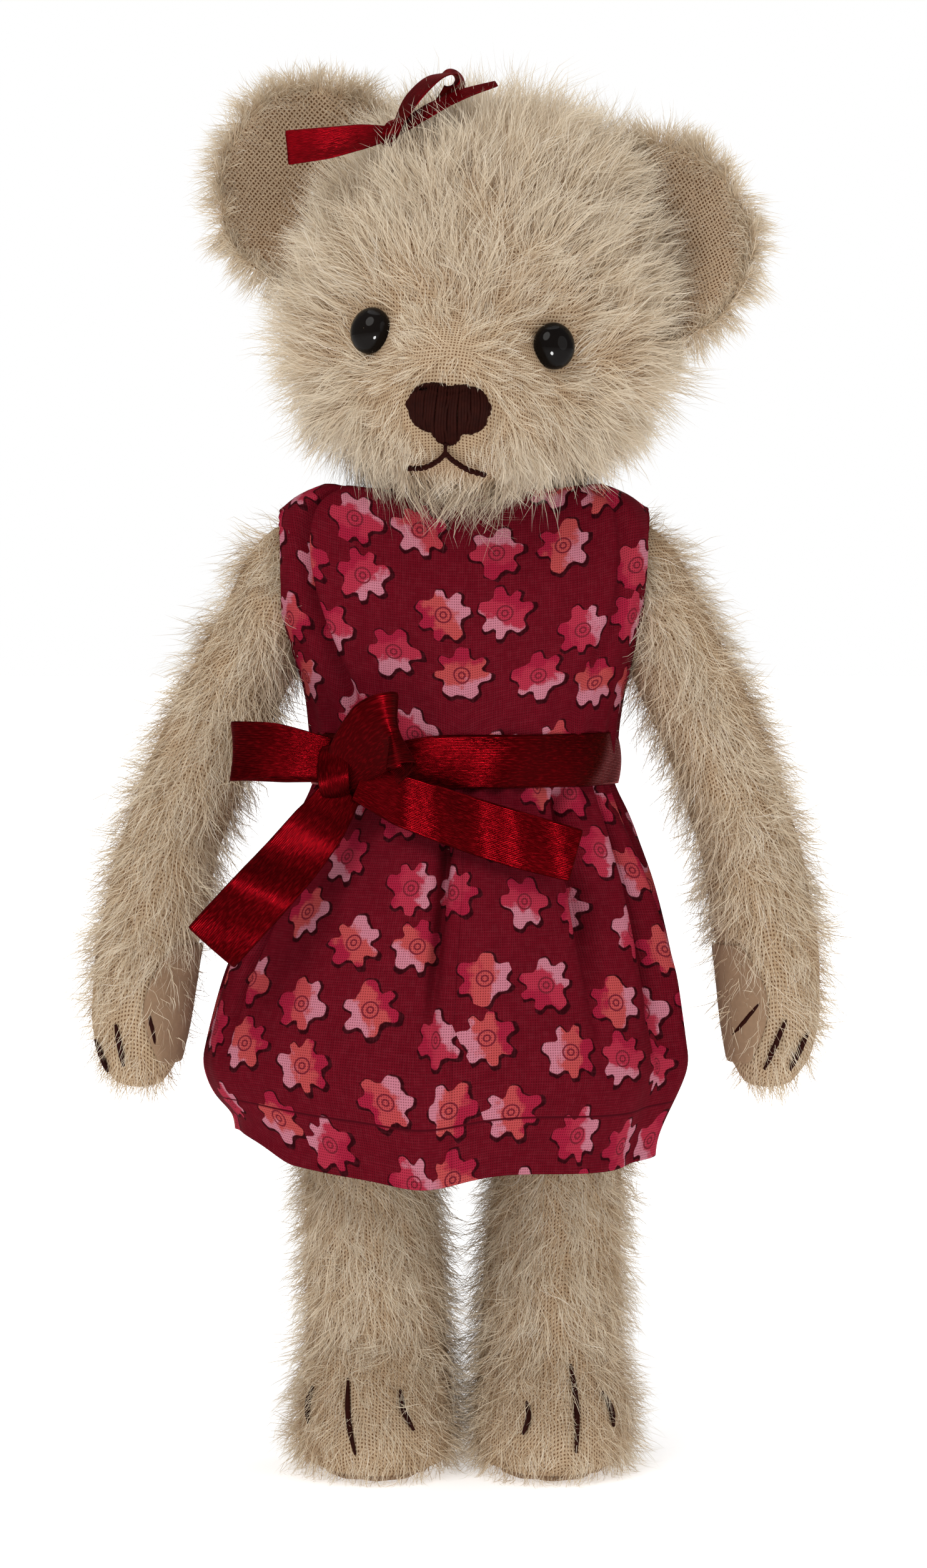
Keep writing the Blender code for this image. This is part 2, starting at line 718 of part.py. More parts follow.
def make_leg(side, word):
    at_hip = (0, 0, HIP_Z)
    matrix = axis_matrix("x", at_hip, side)
    hole, body_room, limb_room = joint_hardware(f"hip_{word}", HIP_STACK, matrix)
    name = f"leg_{word}"
    stuffed(name, skin_mesh(name, LEG, 14, side), [hole], [limb_room])
    bm = bmesh.new()
    bmesh.ops.create_cone(
        bm, cap_ends=True, segments=20, radius1=1.0, radius2=1.0, depth=SOLE_THICKNESS,
    )
    bmesh.ops.scale(bm, vec=(*SOLE_HALF, 1.0), verts=bm.verts)
    bmesh.ops.translate(bm, vec=(*SOLE_CENTRE, SOLE_THICKNESS / 2), verts=bm.verts)
    place(f"sole_pad_{word}", mesh_from(bm, f"sole_pad_{word}", side), "suede")
    strokes = [(math.radians(a), 4.6, top) for a, top in ((246, 9.6), (268, 12.6), (290, 9.6))]
    make_claws(f"claw_thread_foot_{word}", LEG, strokes, math.radians(2.4), side)
    return hole, body_room


# --- dress ---------------------------------------------------------------------------------------
def armhole_cutter(side):
    """A flared solid of turning about the shoulder axis, wide enough for the arm at any angle."""
    mesh = outline_mesh("armhole", reversed(ARMHOLE))
    obj = place(f"armhole_{side}", mesh, None, matrix=axis_matrix("x", (0, 0, SHOULDER_Z), side))
    turned(obj, 24)
    return obj


def pleats(z, angle):
    depth = PLEAT_DEPTH * min(1.0, (SKIRT[0][0] - z) / PLEATS_OPEN_OVER)
    return depth * math.cos(SKIRT_PLEATS * angle)


def make_dress():
    bodice = place("dress_bodice", band_mesh("dress_bodice", BODICE, 0, math.tau, 24), "cotton")
    thicken(bodice, 0.7)
    cut(bodice, armhole_cutter(1), armhole_cutter(-1))
    for side, word in ((1, "left"), (-1, "right")):
        edge = math.radians(89.4)
        name = f"dress_skirt_{word}"
        mesh = band_mesh(name, SKIRT, -edge, edge, 24, pleats, side)
        thicken(place(name, mesh, "cotton"), 0.7)


# --- assembly ------------------------------------------------------------------------------------
def make_bear():
    holes = []
    rooms = []
    for side, word in ((1, "left"), (-1, "right")):
        for maker in (make_arm, make_leg):
            hole, room = maker(side, word)
            holes.append(hole)
            rooms.append(room)
    neck_hole, neck_room = make_head()
    stuffed("torso", skin_mesh("torso", TORSO, 16), holes + [neck_hole], rooms + [neck_room])
    make_dress()
    make_sash()


make_bear()
bpy.context.view_layer.update()
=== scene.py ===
"""The looks of the jointed mohair bear: fur, dress, ribbons, face, materials, light and camera.

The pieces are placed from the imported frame. The stuffed skins are resampled from the CAD shells,
and the fur, the eyes and the stitches are laid on those skins. The face and the ribbons add points
of their own, in millimetres from a place in the frame. Other lengths are in metres, written as
millimetres times MM.
"""

import json
import math

import bmesh
import bpy
import numpy as np
from mathutils import Matrix, Vector, kdtree
from mathutils.bvhtree import BVHTree


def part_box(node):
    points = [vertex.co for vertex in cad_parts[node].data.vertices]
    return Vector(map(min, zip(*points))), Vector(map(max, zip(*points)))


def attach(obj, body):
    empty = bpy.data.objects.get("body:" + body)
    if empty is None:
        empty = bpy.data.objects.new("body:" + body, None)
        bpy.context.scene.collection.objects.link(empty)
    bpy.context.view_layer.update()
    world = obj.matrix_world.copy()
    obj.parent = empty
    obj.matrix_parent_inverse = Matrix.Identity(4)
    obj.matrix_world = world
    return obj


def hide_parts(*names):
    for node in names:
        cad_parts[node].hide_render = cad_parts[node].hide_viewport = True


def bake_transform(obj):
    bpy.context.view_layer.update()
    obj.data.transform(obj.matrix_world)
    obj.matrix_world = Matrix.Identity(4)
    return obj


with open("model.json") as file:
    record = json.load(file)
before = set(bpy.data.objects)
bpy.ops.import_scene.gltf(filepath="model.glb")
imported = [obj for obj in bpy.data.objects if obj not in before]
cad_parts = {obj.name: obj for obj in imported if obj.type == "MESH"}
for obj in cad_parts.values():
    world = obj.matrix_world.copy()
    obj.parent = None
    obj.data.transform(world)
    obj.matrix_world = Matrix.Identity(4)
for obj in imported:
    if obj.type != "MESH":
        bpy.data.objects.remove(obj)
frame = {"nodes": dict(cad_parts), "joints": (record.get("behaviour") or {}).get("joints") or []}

MM = 0.001
TAU = math.tau
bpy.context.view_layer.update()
NODES = frame["nodes"]


# --- shader graphs written as formulas -----------------------------------------------------------
class Num:
    """A number in a shader graph. Arithmetic on it adds Math nodes."""

    def __init__(self, graph, socket):
        self.graph = graph
        self.socket = socket

    def __add__(self, other):
        return self.graph.math("ADD", self, other)

    def __sub__(self, other):
        return self.graph.math("SUBTRACT", self, other)

    def __rsub__(self, other):
        return self.graph.math("SUBTRACT", other, self)

    def __mul__(self, other):
        return self.graph.math("MULTIPLY", self, other)

    def __truediv__(self, other):
        return self.graph.math("DIVIDE", self, other)

    __radd__ = __add__
    __rmul__ = __mul__


class Graph:
    """A material whose nodes are added by short calls."""

    def __init__(self, name):
        self.material = bpy.data.materials.new(name)
        self.material.use_nodes = True
        self.tree = self.material.node_tree
        self.shader = self.tree.nodes["Principled BSDF"]

    def feed(self, socket, value):
        if isinstance(value, Num):
            self.tree.links.new(value.socket, socket)
        elif isinstance(value, (int, float)):
            socket.default_value = value
        elif isinstance(value, tuple):
            socket.default_value = (*value, 1.0) if len(socket.default_value) == 4 else value
        else:
            self.tree.links.new(value, socket)

    def node(self, kind, settings=(), **inputs):
        made = self.tree.nodes.new(kind)
        for key, value in dict(settings).items():
            setattr(made, key, value)
        for key, value in inputs.items():
            self.feed(made.inputs[key.replace("_", " ")], value)
        return made

    def math(self, operation, *values):
        made = self.tree.nodes.new("ShaderNodeMath")
        made.operation = operation
        for socket, value in zip(made.inputs, values):
            self.feed(socket, value)
        return Num(self, made.outputs[0])

    def smooth(self, value, low, high):
        made = self.node("ShaderNodeMapRange", {"interpolation_type": "SMOOTHSTEP"})
        for key, item in (("Value", value), ("From Min", low), ("From Max", high)):
            self.feed(made.inputs[key], item)
        return Num(self, made.outputs[0])

    def mix(self, share, first, second):
        made = self.tree.nodes.new("ShaderNodeMix")
        made.data_type = "RGBA"
        self.feed(made.inputs[0], share)
        self.feed(made.inputs[6], first)
        self.feed(made.inputs[7], second)
        return made.outputs[2]

    def uv(self, layer):
        source = self.node("ShaderNodeUVMap", {"uv_map": layer}).outputs[0]
        return self.split(source)

    def split(self, vector):
        made = self.node("ShaderNodeSeparateXYZ", Vector=vector)
        return [Num(self, output) for output in made.outputs]

    def vector(self, x, y, z=0.0):
        return self.node("ShaderNodeCombineXYZ", X=x, Y=y, Z=z).outputs[0]

    def noise(self, scale, vector=None, detail=2.0):
        made = self.node("ShaderNodeTexNoise", Scale=scale, Detail=detail)
        if vector is None:
            vector = self.node("ShaderNodeTexCoord").outputs["Object"]
        self.feed(made.inputs["Vector"], vector)
        return Num(self, made.outputs[0])

    def surface(self, colour, roughness, **extra):
        self.feed(self.shader.inputs["Base Color"], colour)
        self.feed(self.shader.inputs["Roughness"], roughness)
        for key, value in extra.items():
            self.feed(self.shader.inputs[key.replace("_", " ")], value)

    def bump(self, height, distance, strength=1.0):
        made = self.node("ShaderNodeBump", Strength=strength, Distance=distance, Height=height)
        self.feed(self.shader.inputs["Normal"], made.outputs[0])


def weave(graph, u, v, pitch_u, pitch_v):
    """Height and gaps of a plain weave whose yarns lie a pitch apart."""
    across = graph.math("ABSOLUTE", graph.math("SINE", u * (math.pi / pitch_u)))
    along = graph.math("ABSOLUTE", graph.math("SINE", v * (math.pi / pitch_v)))
    over = graph.math("COSINE", u * (math.pi / pitch_u)) * graph.math("COSINE", v * (math.pi / pitch_v))
    height = graph.math("MAXIMUM", across * (over * 0.3 + 0.7), along * (0.7 - over * 0.3))
    gaps = (1.0 - across) * (1.0 - along)
    return height, gaps


# --- materials -----------------------------------------------------------------------------------
BACKING_PITCH = 0.52 * MM
COTTON_PITCH_U = 0.34 * MM
COTTON_PITCH_V = 0.385 * MM
FLOWER_SPACING = 10.9 * MM
ROW_SHARE = 0.95
FLOWER_RADIUS = 4.0 * MM
PRINT_COS, PRINT_SIN = 0.98, 0.2  # how far the rows of flowers are turned from the thread
FLOWER_RINGS = (1.15 * MM, 0.45 * MM)
HEM_STITCH = 8.4 * MM


def backing_material(name, shade=None):
    """The tan woven ground that shows between the locks of mohair, with painted shade on the low parts of the
    yarns and in the gaps between them. shade gives the two heights of the cloth's v between which the cloth
    turns from a painted brown shade to pale, as low down inside an ear next to the head."""
    g = Graph(name)
    u, v = g.uv("Cloth")[:2]
    wander = g.noise(220.0, detail=1.0) * (0.5 * MM)
    height, gaps = weave(g, u + wander, v + wander, BACKING_PITCH, BACKING_PITCH * 1.15)
    patches = g.smooth(g.noise(90.0, detail=3.0), 0.35, 0.68)
    cloth = g.mix(patches, (0.56, 0.42, 0.275), (0.68, 0.55, 0.40))
    if shade is not None:
        # Painted shade: the lining is painted brown low down next to the head, where the head shades it, and
        # paler up towards the rim.
        cloth = g.mix(g.smooth(v, *shade), (0.27, 0.145, 0.07), (0.84, 0.68, 0.51))
    # Painted shade: the low parts of the weave are painted darker than the tops of the yarns.
    yarns = g.mix(g.smooth(height, 0.5, 0.95), (0.44, 0.30, 0.18), cloth)
    # Painted shade: the gaps between the yarns are painted nearly black.
    gap_shade = g.smooth(gaps, *((0.12, 0.5) if shade is None else (0.04, 0.32)))
    colour = g.mix(gap_shade, yarns, (0.15, 0.07, 0.03))
    g.surface(colour, 0.95, Specular_IOR_Level=0.1)
    g.bump(height, 0.16 * MM)
    return g.material


def fur_material(name, root, middle, tip):
    """Mohair: u of the strand's map is its tint and v runs from its root to its tip; the root is painted
    darker and warmer as shade, and the strand pales towards the tip.
    """
    g = Graph(name)
    u, v = g.uv("OFBake")[:2]
    # Painted shade: each strand is painted darker at the root, where the locks shade it, and lighter towards
    # the tip.
    along = g.mix(g.smooth(v, 0.05, 0.45), root, middle)
    pale = g.mix(g.smooth(v, 0.4, 1.0), along, tip)
    warm = g.mix(g.smooth(u, 0.0, 0.4), (0.62, 0.475, 0.32), pale)
    colour = g.mix(g.smooth(u, 0.7, 1.0), warm, (0.84, 0.765, 0.66))
    g.surface(colour, 0.6, Specular_IOR_Level=0.25)
    return g.material


def flower_print(g, u, v):
    """Round-petalled blossoms scattered on a crimson ground, each turned and tinted at random."""
    u, v = u * PRINT_COS - v * PRINT_SIN, v * PRINT_COS + u * PRINT_SIN
    row = v / (FLOWER_SPACING * ROW_SHARE)
    place = g.vector(u / FLOWER_SPACING + row * 0.5, row)
    cells = g.node("ShaderNodeTexVoronoi", {"voronoi_dimensions": "2D"}, Vector=place, Scale=1.0)
    cells.inputs["Randomness"].default_value = 0.30
    cx, cy, _ = g.split(cells.outputs["Position"])
    turn, tint, kind = [
        Num(g, output) for output in g.node("ShaderNodeSeparateColor", Color=cells.outputs["Color"]).outputs
    ]
    wobble = g.noise(260.0, detail=2.0) * 0.35 - 0.17
    dx = u - (cx - cy * 0.5) * FLOWER_SPACING
    dy = v - cy * (FLOWER_SPACING * ROW_SHARE)

    def petals(x, y, size):
        reach = g.math("SQRT", x * x + y * y)
        angle = g.math("ARCTAN2", y, x) + turn * TAU
        angle = angle + g.math("SINE", angle * 2.0 + turn * 30.0) * 0.12 + wobble * 0.5
        petals_few = g.math("COSINE", angle * 6.0)
        petals_many = g.math("COSINE", angle * 7.0)
        few = g.math("GREATER_THAN", turn, 0.5)
        wave = petals_few * few + petals_many * (1.0 - few)
        lobes = g.smooth(wave, -0.95, 0.9) * 0.30 - 0.15
        lobes = lobes + g.math("COSINE", angle * 3.0 + turn * 40.0) * 0.05
        edge = (lobes + wobble + 0.86) * (FLOWER_RADIUS * size)
        return g.smooth(edge - reach, -0.1 * MM, 0.1 * MM), reach

    inside, reach = petals(dx, dy, 1.0)
    shade, _ = petals(dx - 0.25 * MM, dy + 0.2 * MM, 1.12)
    swing = tint * TAU
    lean = dx * g.math("COSINE", swing) + dy * g.math("SINE", swing)
    soft = g.noise(600.0, detail=3.0) * (4.4 * MM) - 2.2 * MM
    warm = g.mix(g.smooth(kind, 0.35, 0.65), (0.41, 0.026, 0.055), (0.47, 0.066, 0.066))
    pale = g.mix(g.smooth(lean + soft, 0.9 * MM, 2.0 * MM), warm, (0.54, 0.19, 0.25))
    hot = g.mix(g.smooth(lean + soft, -2.2 * MM, -1.0 * MM), (0.33, 0.011, 0.038), pale)
    rings = g.math("MINIMUM", *[g.math("ABSOLUTE", reach - ring) for ring in FLOWER_RINGS])
    marked = g.mix(g.smooth(rings, 0.06 * MM, 0.2 * MM), (0.17, 0.014, 0.026), hot)
    mottle = g.noise(500.0, detail=3.0)
    ground = g.mix(mottle, (0.098, 0.0018, 0.0068), (0.150, 0.0042, 0.0125))
    outlined = g.mix(shade, ground, (0.024, 0.0009, 0.0026))
    return g.mix(inside, outlined, marked)


def cotton_material(name, hem=False):
    g = Graph(name)
    u, v = g.uv("Cloth")[:2]
    colour = flower_print(g, u, v)
    height, gaps = weave(g, u, v, COTTON_PITCH_U, COTTON_PITCH_V)
    slubs = g.noise(1.0, g.vector(u * 500.0, v * 3200.0), detail=1.0)
    across = g.noise(1.0, g.vector(u * 3400.0, v * 500.0), detail=1.0)
    yarns = g.mix(g.smooth(slubs + across, 0.85, 1.3) * 0.10, colour, (0.30, 0.045, 0.065))
    # Painted shade: the gaps between the yarns are painted nearly black.
    woven = g.mix(g.smooth(gaps, 0.02, 0.6) * 0.75, yarns, (0.030, 0.001, 0.003))
    if hem:
        line = g.math("ABSOLUTE", v - HEM_STITCH)
        woven = g.mix(g.smooth(line, 0.05 * MM, 0.28 * MM), (0.06, 0.002, 0.006), woven)
    g.surface(woven, 0.85, Specular_IOR_Level=0.02)
    g.bump(height, 0.05 * MM, 0.8)
    return g.material


def satin_material(name, deep, glint_highlight):
    """Woven satin: smooth along the warp, with fine broken glints across it, painted as highlights into the
    base colour as well as shown in the roughness and bump.
    """
    g = Graph(name)
    u, v = g.uv("Cloth")[:2]
    glints = g.noise(1.0, g.vector(u * 900.0, v * 4200.0), detail=2.0)
    rib = g.math("SINE", v * (TAU / (0.24 * MM)))
    selvage = g.smooth(g.math("ABSOLUTE", v), 3.3 * MM, 3.7 * MM)
    # Painted highlight: the glints are painted in a brighter red over the deep colour.
    colour = g.mix(g.smooth(glints, 0.45, 0.75), deep, glint_highlight)
    g.surface(
        colour, g.smooth(glints, 0.3, 0.8) * 0.16 + 0.24,
        Metallic=0.65, Specular_IOR_Level=0.25, Specular_Tint=(1.0, 0.02, 0.03), Anisotropic=0.55,
    )
    g.bump(rib * 0.3 + glints + selvage * 0.5, 0.05 * MM, 0.8)
    return g.material


def thread_material(name, colour, dark):
    g = Graph(name)
    u, v = g.uv("Cloth")[:2]
    twist = g.math("SINE", u * (TAU / (0.9 * MM)) + v * 1.0)
    tone = g.noise(900.0, detail=3.0)
    g.surface(g.mix(tone, dark, colour), 0.7, Specular_IOR_Level=0.03)
    g.bump(twist * 0.5 + tone, 0.05 * MM, 0.6)
    return g.material


def plain_material(name, colour, roughness, metallic=0.0, grain=300.0, depth=0.03 * MM):
    """A surface with a little grain and tone of its own."""
    g = Graph(name)
    tone = g.noise(grain, detail=4.0)
    dark = tuple(0.72 * c for c in colour)
    g.surface(g.mix(tone, dark, colour), roughness, Metallic=metallic, Specular_IOR_Level=0.2)
    g.bump(tone, depth, 0.6)
    return g.material


def eye_material():
    g = Graph("eye_glass")
    depth = g.noise(80.0, detail=1.0)
    g.surface(g.mix(depth, (0.003, 0.002, 0.002), (0.008, 0.006, 0.005)), 0.05, Specular_IOR_Level=0.10)
    return g.material


MATERIALS = {
    "backing": backing_material("mohair_backing"),
    # The ear's lining has painted shade: brown low inside the ear, next to the head.
    "ear_lining": backing_material("mohair_backing_ear", (-6.0 * MM, 7.0 * MM)),
    # The mohair runs from a root darkened as painted shade to a paler tip.
    "mohair": fur_material("mohair_locks", (0.66, 0.49, 0.315), (0.71, 0.585, 0.425), (0.76, 0.665, 0.525)),
    "cotton": cotton_material("printed_cotton"),
    "hemmed_cotton": cotton_material("printed_cotton_hemmed", hem=True),
    # Each satin is given a deep colour and a brighter red for its painted glint highlights.
    "sash": satin_material("sash_satin", (0.036, 0.0002, 0.0008), (0.090, 0.0010, 0.0024)),
    "hair_satin": satin_material("hair_satin", (0.070, 0.0006, 0.0018), (0.120, 0.0014, 0.0040)),
    "thread": thread_material("embroidery_thread", (0.034, 0.0060, 0.0036), (0.012, 0.0026, 0.0018)),
    "suede": plain_material("suede", (0.34, 0.215, 0.13), 0.95, grain=1400.0, depth=0.05 * MM),
    "wadding": plain_material("wadding", (0.85, 0.83, 0.78), 1.0, grain=600.0, depth=0.4 * MM),
    "hardboard": plain_material("hardboard", (0.28, 0.17, 0.09), 0.8, grain=1500.0),
    "steel": plain_material("zinc_steel", (0.62, 0.62, 0.62), 0.38, 1.0, grain=900.0, depth=0.01 * MM),
    "eye": eye_material(),
}


# --- meshes --------------------------------------------------------------------------------------
def in_scene(name, data):
    obj = bpy.data.objects.new(name, data)
    bpy.context.scene.collection.objects.link(obj)
    return obj


def finished(name, mesh, material):
    """A smooth object from a mesh, with a material."""
    mesh.polygons.foreach_set("use_smooth", [True] * len(mesh.polygons))
    mesh.materials.append(MATERIALS[material])
    obj = in_scene(name, mesh)
    return obj


def stands_for(obj, node, body):
    """Show obj in place of a CAD node, riding on a body."""
    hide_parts(node)
    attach(obj, body)


def vectors(mesh, kind="co"):
    """The mesh's points, or its normals, as rows of three."""
    values = np.zeros(len(mesh.vertices) * 3)
    mesh.vertices.foreach_get(kind, values)
    return values.reshape(-1, 3)


def mesh_object(name, points, faces, material, maps=None):
    """A smooth mesh from arrays. maps holds uv layers, as one uv a corner."""
    mesh = bpy.data.meshes.new(name)
    mesh.from_pydata([tuple(p) for p in points], [], faces)
    for layer, values in (maps or {}).items():
        uv = mesh.uv_layers.new(name=layer)
        uv.data.foreach_set("uv", np.asarray(values, np.float32).ravel())
    return finished(name, mesh, material)


def grid_faces(rows, columns, closed):
    faces = []
    for i in range(rows - 1):
        for j in range(columns if closed else columns - 1):
            k = (j + 1) % columns
            faces.append((i * columns + j, (i + 1) * columns + j, (i + 1) * columns + k, i * columns + k))
    return faces


def cloth_corners(cloth, face, columns):
    i, j = divmod(face[0], columns)
    return [cloth[i][j], cloth[i + 1][j], cloth[i + 1][j + 1], cloth[i][j + 1]]


def grid_object(name, grid, material, closed=False, cloth=None):
    """A sheet from a grid of points (rows, columns, 3). cloth gives each point its (u, v) in metres,
    with one more column than the points when the sheet closes on itself."""
    grid = np.asarray(grid, float)
    rows, columns = grid.shape[:2]
    faces = grid_faces(rows, columns, closed)
    if cloth is None:
        cloth = measured_cloth(grid, closed)
    uv = [corner for face in faces for corner in cloth_corners(cloth, face, columns)]
    return mesh_object(name, grid.reshape(-1, 3), faces, material, {"Cloth": uv})


def fitted_cloth(grid, front):
    """Arc lengths along each ring, from the column in front, and down each column."""
    ring = np.concatenate([grid, grid[:, :1]], axis=1)
    across = np.linalg.norm(np.diff(ring, axis=1), axis=2)
    u = np.concatenate([np.zeros((len(ring), 1)), np.cumsum(across, axis=1)], axis=1)
    down = np.linalg.norm(np.diff(ring, axis=0), axis=2)
    v = -np.concatenate([np.zeros((1, ring.shape[1])), np.cumsum(down, axis=0)])
    return np.stack([u - u[:, front : front + 1], v], axis=2)


def measured_cloth(grid, closed):
    """Average arc lengths along the rows and down the columns, as cloth coordinates."""
    ring = np.concatenate([grid, grid[:, :1]], axis=1) if closed else grid
    across = np.linalg.norm(np.diff(ring, axis=1), axis=2).mean(0)
    down = np.linalg.norm(np.diff(grid, axis=0), axis=2).mean(1)
    u = np.concatenate([[0], np.cumsum(across)])
    v = np.concatenate([[0], -np.cumsum(down)])
    return np.stack(np.broadcast_arrays(u[None, :], v[:, None]), axis=2)


def add_modifier(obj, kind, **settings):
    modifier = obj.modifiers.new(kind.lower(), kind)
    for key, value in settings.items():
        setattr(modifier, key, value)


def apply_modifiers(obj):
    bpy.context.view_layer.update()
    evaluated = obj.evaluated_get(bpy.context.evaluated_depsgraph_get())
    mesh = bpy.data.meshes.new_from_object(evaluated)
    obj.modifiers.clear()
    obj.data = mesh


def tube_object(name, paths, radius, sides=8, taper=False):
    """Round embroidery threads along paths, joined as one piece."""
    points, faces, uv = [], [], []
    for path in paths:
        path = np.asarray(path, float)
        tangent = np.gradient(path, axis=0)
        tangent /= np.linalg.norm(tangent, axis=1)[:, None]
        side = np.cross(tangent, np.array([0.31, 0.52, 0.79]))
        side /= np.linalg.norm(side, axis=1)[:, None]
        up = np.cross(side, tangent)
        length = np.concatenate([[0], np.cumsum(np.linalg.norm(np.diff(path, axis=0), axis=1))])
        start = len(points)
        for i, centre in enumerate(path):
            share = i / (len(path) - 1)
            width = radius * (math.sin(math.pi * min(max(share, 0.04), 0.96)) ** 0.35 if taper else 1.0)
            for k in range(sides):
                a = TAU * k / sides
                points.append(centre + width * (side[i] * math.cos(a) + up[i] * math.sin(a)))
        for i in range(len(path) - 1):
            for k in range(sides):
                n = (k + 1) % sides
                a, b = start + i * sides, start + (i + 1) * sides
                faces.append((a + k, a + n, b + n, b + k))
                for row, column in ((i, k), (i, k + 1), (i + 1, k + 1), (i + 1, k)):
                    uv.append((length[row], radius * TAU * column / sides))
        for ring, order in ((start, -1), (start + (len(path) - 1) * sides, 1)):
            faces.append(tuple(ring + k for k in range(sides))[::order])
            uv += [(0.0, 0.0)] * sides
    return mesh_object(name, points, faces, "thread", {"Cloth": uv})


# --- skins resampled from the CAD shells ---------------------------------------------------------
FAR = 0.12  # how far outside a shell the rays that measure it begin
CAP_RINGS = ((0.7, 0.55), (0.3, 0.95), (0.02, 1.0))  # size and height of each ring of a rounded end


def tree_of(*names):
    points, faces = [], []
    for name in names:
        mesh = NODES[name].data
        first = len(points)
        points += [v.co.copy() for v in mesh.vertices]
        faces += [tuple(first + i for i in p.vertices) for p in mesh.polygons]
    return BVHTree.FromPolygons(points, faces)


def smoothed(values, times, closed=False):
    """Repeated three-point averaging down the columns, and round the rows where they close."""
    values = np.array(values, float)
    for _ in range(times):
        if closed:
            values = (np.roll(values, 1, 1) + 2 * values + np.roll(values, -1, 1)) / 4
        values[1:-1] = (values[:-2] + 2 * values[1:-1] + values[2:]) / 4
    return values


def section_centre(tree, centre, z):
    """The middle of a level section, found from its four sides."""
    spot = list(centre)
    for axis in (0, 1) * 3:
        sides = []
        for sign in (1, -1):
            start, way = [*spot, z], [0, 0, 0]
            start[axis] += sign * FAR
            way[axis] = -sign
            hit = tree.ray_cast(Vector(start), Vector(way))[0]
            if hit is None:
                return tuple(spot)
            sides.append(hit[axis])
        spot[axis] = sum(sides) / 2
    return tuple(spot)


def level_skin(node, levels, columns):
    """A smooth grid over a CAD shell that stands upright: rings of points, top to bottom."""
    inset, smooth = 0.15 * MM, 4
    tree = tree_of(node)
    low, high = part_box(node)
    heights = high[2] - inset - (high[2] - low[2] - 2 * inset) * np.linspace(0, 1, levels)
    centre = tuple(middle(node)[:2])
    centres, radii = [], []
    angles = TAU * np.arange(columns) / columns
    for z in heights:
        centre = section_centre(tree, centre, z)
        ring = []
        for a in angles:
            out = Vector((math.cos(a), math.sin(a), 0))
            hit = tree.ray_cast(Vector((*centre, z)) + out * FAR, -out)[0]
            ring.append((hit.xy - Vector(centre)).length if hit else np.nan)
        centres.append(centre)
        radii.append(ring)
    radii = np.array(radii)
    for row in radii:
        row[np.isnan(row)] = np.nanmean(row) if not np.isnan(row).all() else 2 * MM
    radii = smoothed(radii, smooth, closed=True)
    centres = smoothed(np.array(centres), smooth)
    x = centres[:, :1] + radii * np.cos(angles)
    y = centres[:, 1:] + radii * np.sin(angles)
    return np.stack([x, y, np.broadcast_to(heights[:, None], x.shape)], axis=2)


def capped(grid):
    """The grid with its first and last rings drawn in to a rounded end."""
    ends = []
    for ring, beyond in ((grid[0], grid[0] - grid[1]), (grid[-1], grid[-1] - grid[-2])):
        middle = ring.mean(0)
        width = np.linalg.norm(ring - middle, axis=1).mean()
        lift = np.array([0, 0, math.copysign(1, beyond[:, 2].mean())]) * width * 0.22
        ends.append([middle + (ring - middle) * size + lift * height for size, height in CAP_RINGS])
    return np.concatenate([np.array(ends[0][::-1]), grid, np.array(ends[1])])


class Skin:
    """A furry surface: triangles to sample, with a normal at each point."""

    def __init__(self, obj):
        mesh = obj.data
        mesh.calc_loop_triangles()
        self.points = vectors(mesh)
        self.normals = vectors(mesh, "normal")
        triangles = np.zeros(len(mesh.loop_triangles) * 3, np.int32)
        mesh.loop_triangles.foreach_get("vertices", triangles)
        self.triangles = triangles.reshape(-1, 3)

    def sample(self, count, weight, rng):
        """Random roots and their normals, spread by area times a weight that depends on place."""
        corners = self.points[self.triangles]
        area = np.linalg.norm(np.cross(corners[:, 1] - corners[:, 0], corners[:, 2] - corners[:, 0]), axis=1)
        share = area * weight(corners.mean(1), self.normals[self.triangles].mean(1))
        pick = rng.choice(len(share), count, p=share / share.sum())
        a, b = rng.random(count), rng.random(count)
        fold = a + b > 1
        a[fold], b[fold] = 1 - a[fold], 1 - b[fold]
        mix = np.stack([1 - a - b, a, b], axis=1)[:, :, None]
        roots = (corners[pick] * mix).sum(1)
        normals = (self.normals[self.triangles][pick] * mix).sum(1)
        return roots, unit(normals)


def finder(points):
    """A tree that finds which of the points is nearest."""
    tree = kdtree.KDTree(len(points))
    for i, point in enumerate(points):
        tree.insert(point, i)
    tree.balance()
    return tree


def unit(values):
    return values / np.maximum(np.linalg.norm(values, axis=-1, keepdims=True), 1e-12)


def even(value):
    """A length or a rise that is the same everywhere."""
    return lambda points, *_: np.full(len(points), value)


# --- fur -----------------------------------------------------------------------------------------
ROWS = np.array([0.0, 0.28, 0.54, 0.78, 1.0])
SHORT_ROWS = np.array([0.0, 0.5, 1.0])
FLOOR_GAP = 0.15 * MM
CLUMP = 0.34  # how far each strand's tip is drawn to the tip of its lock


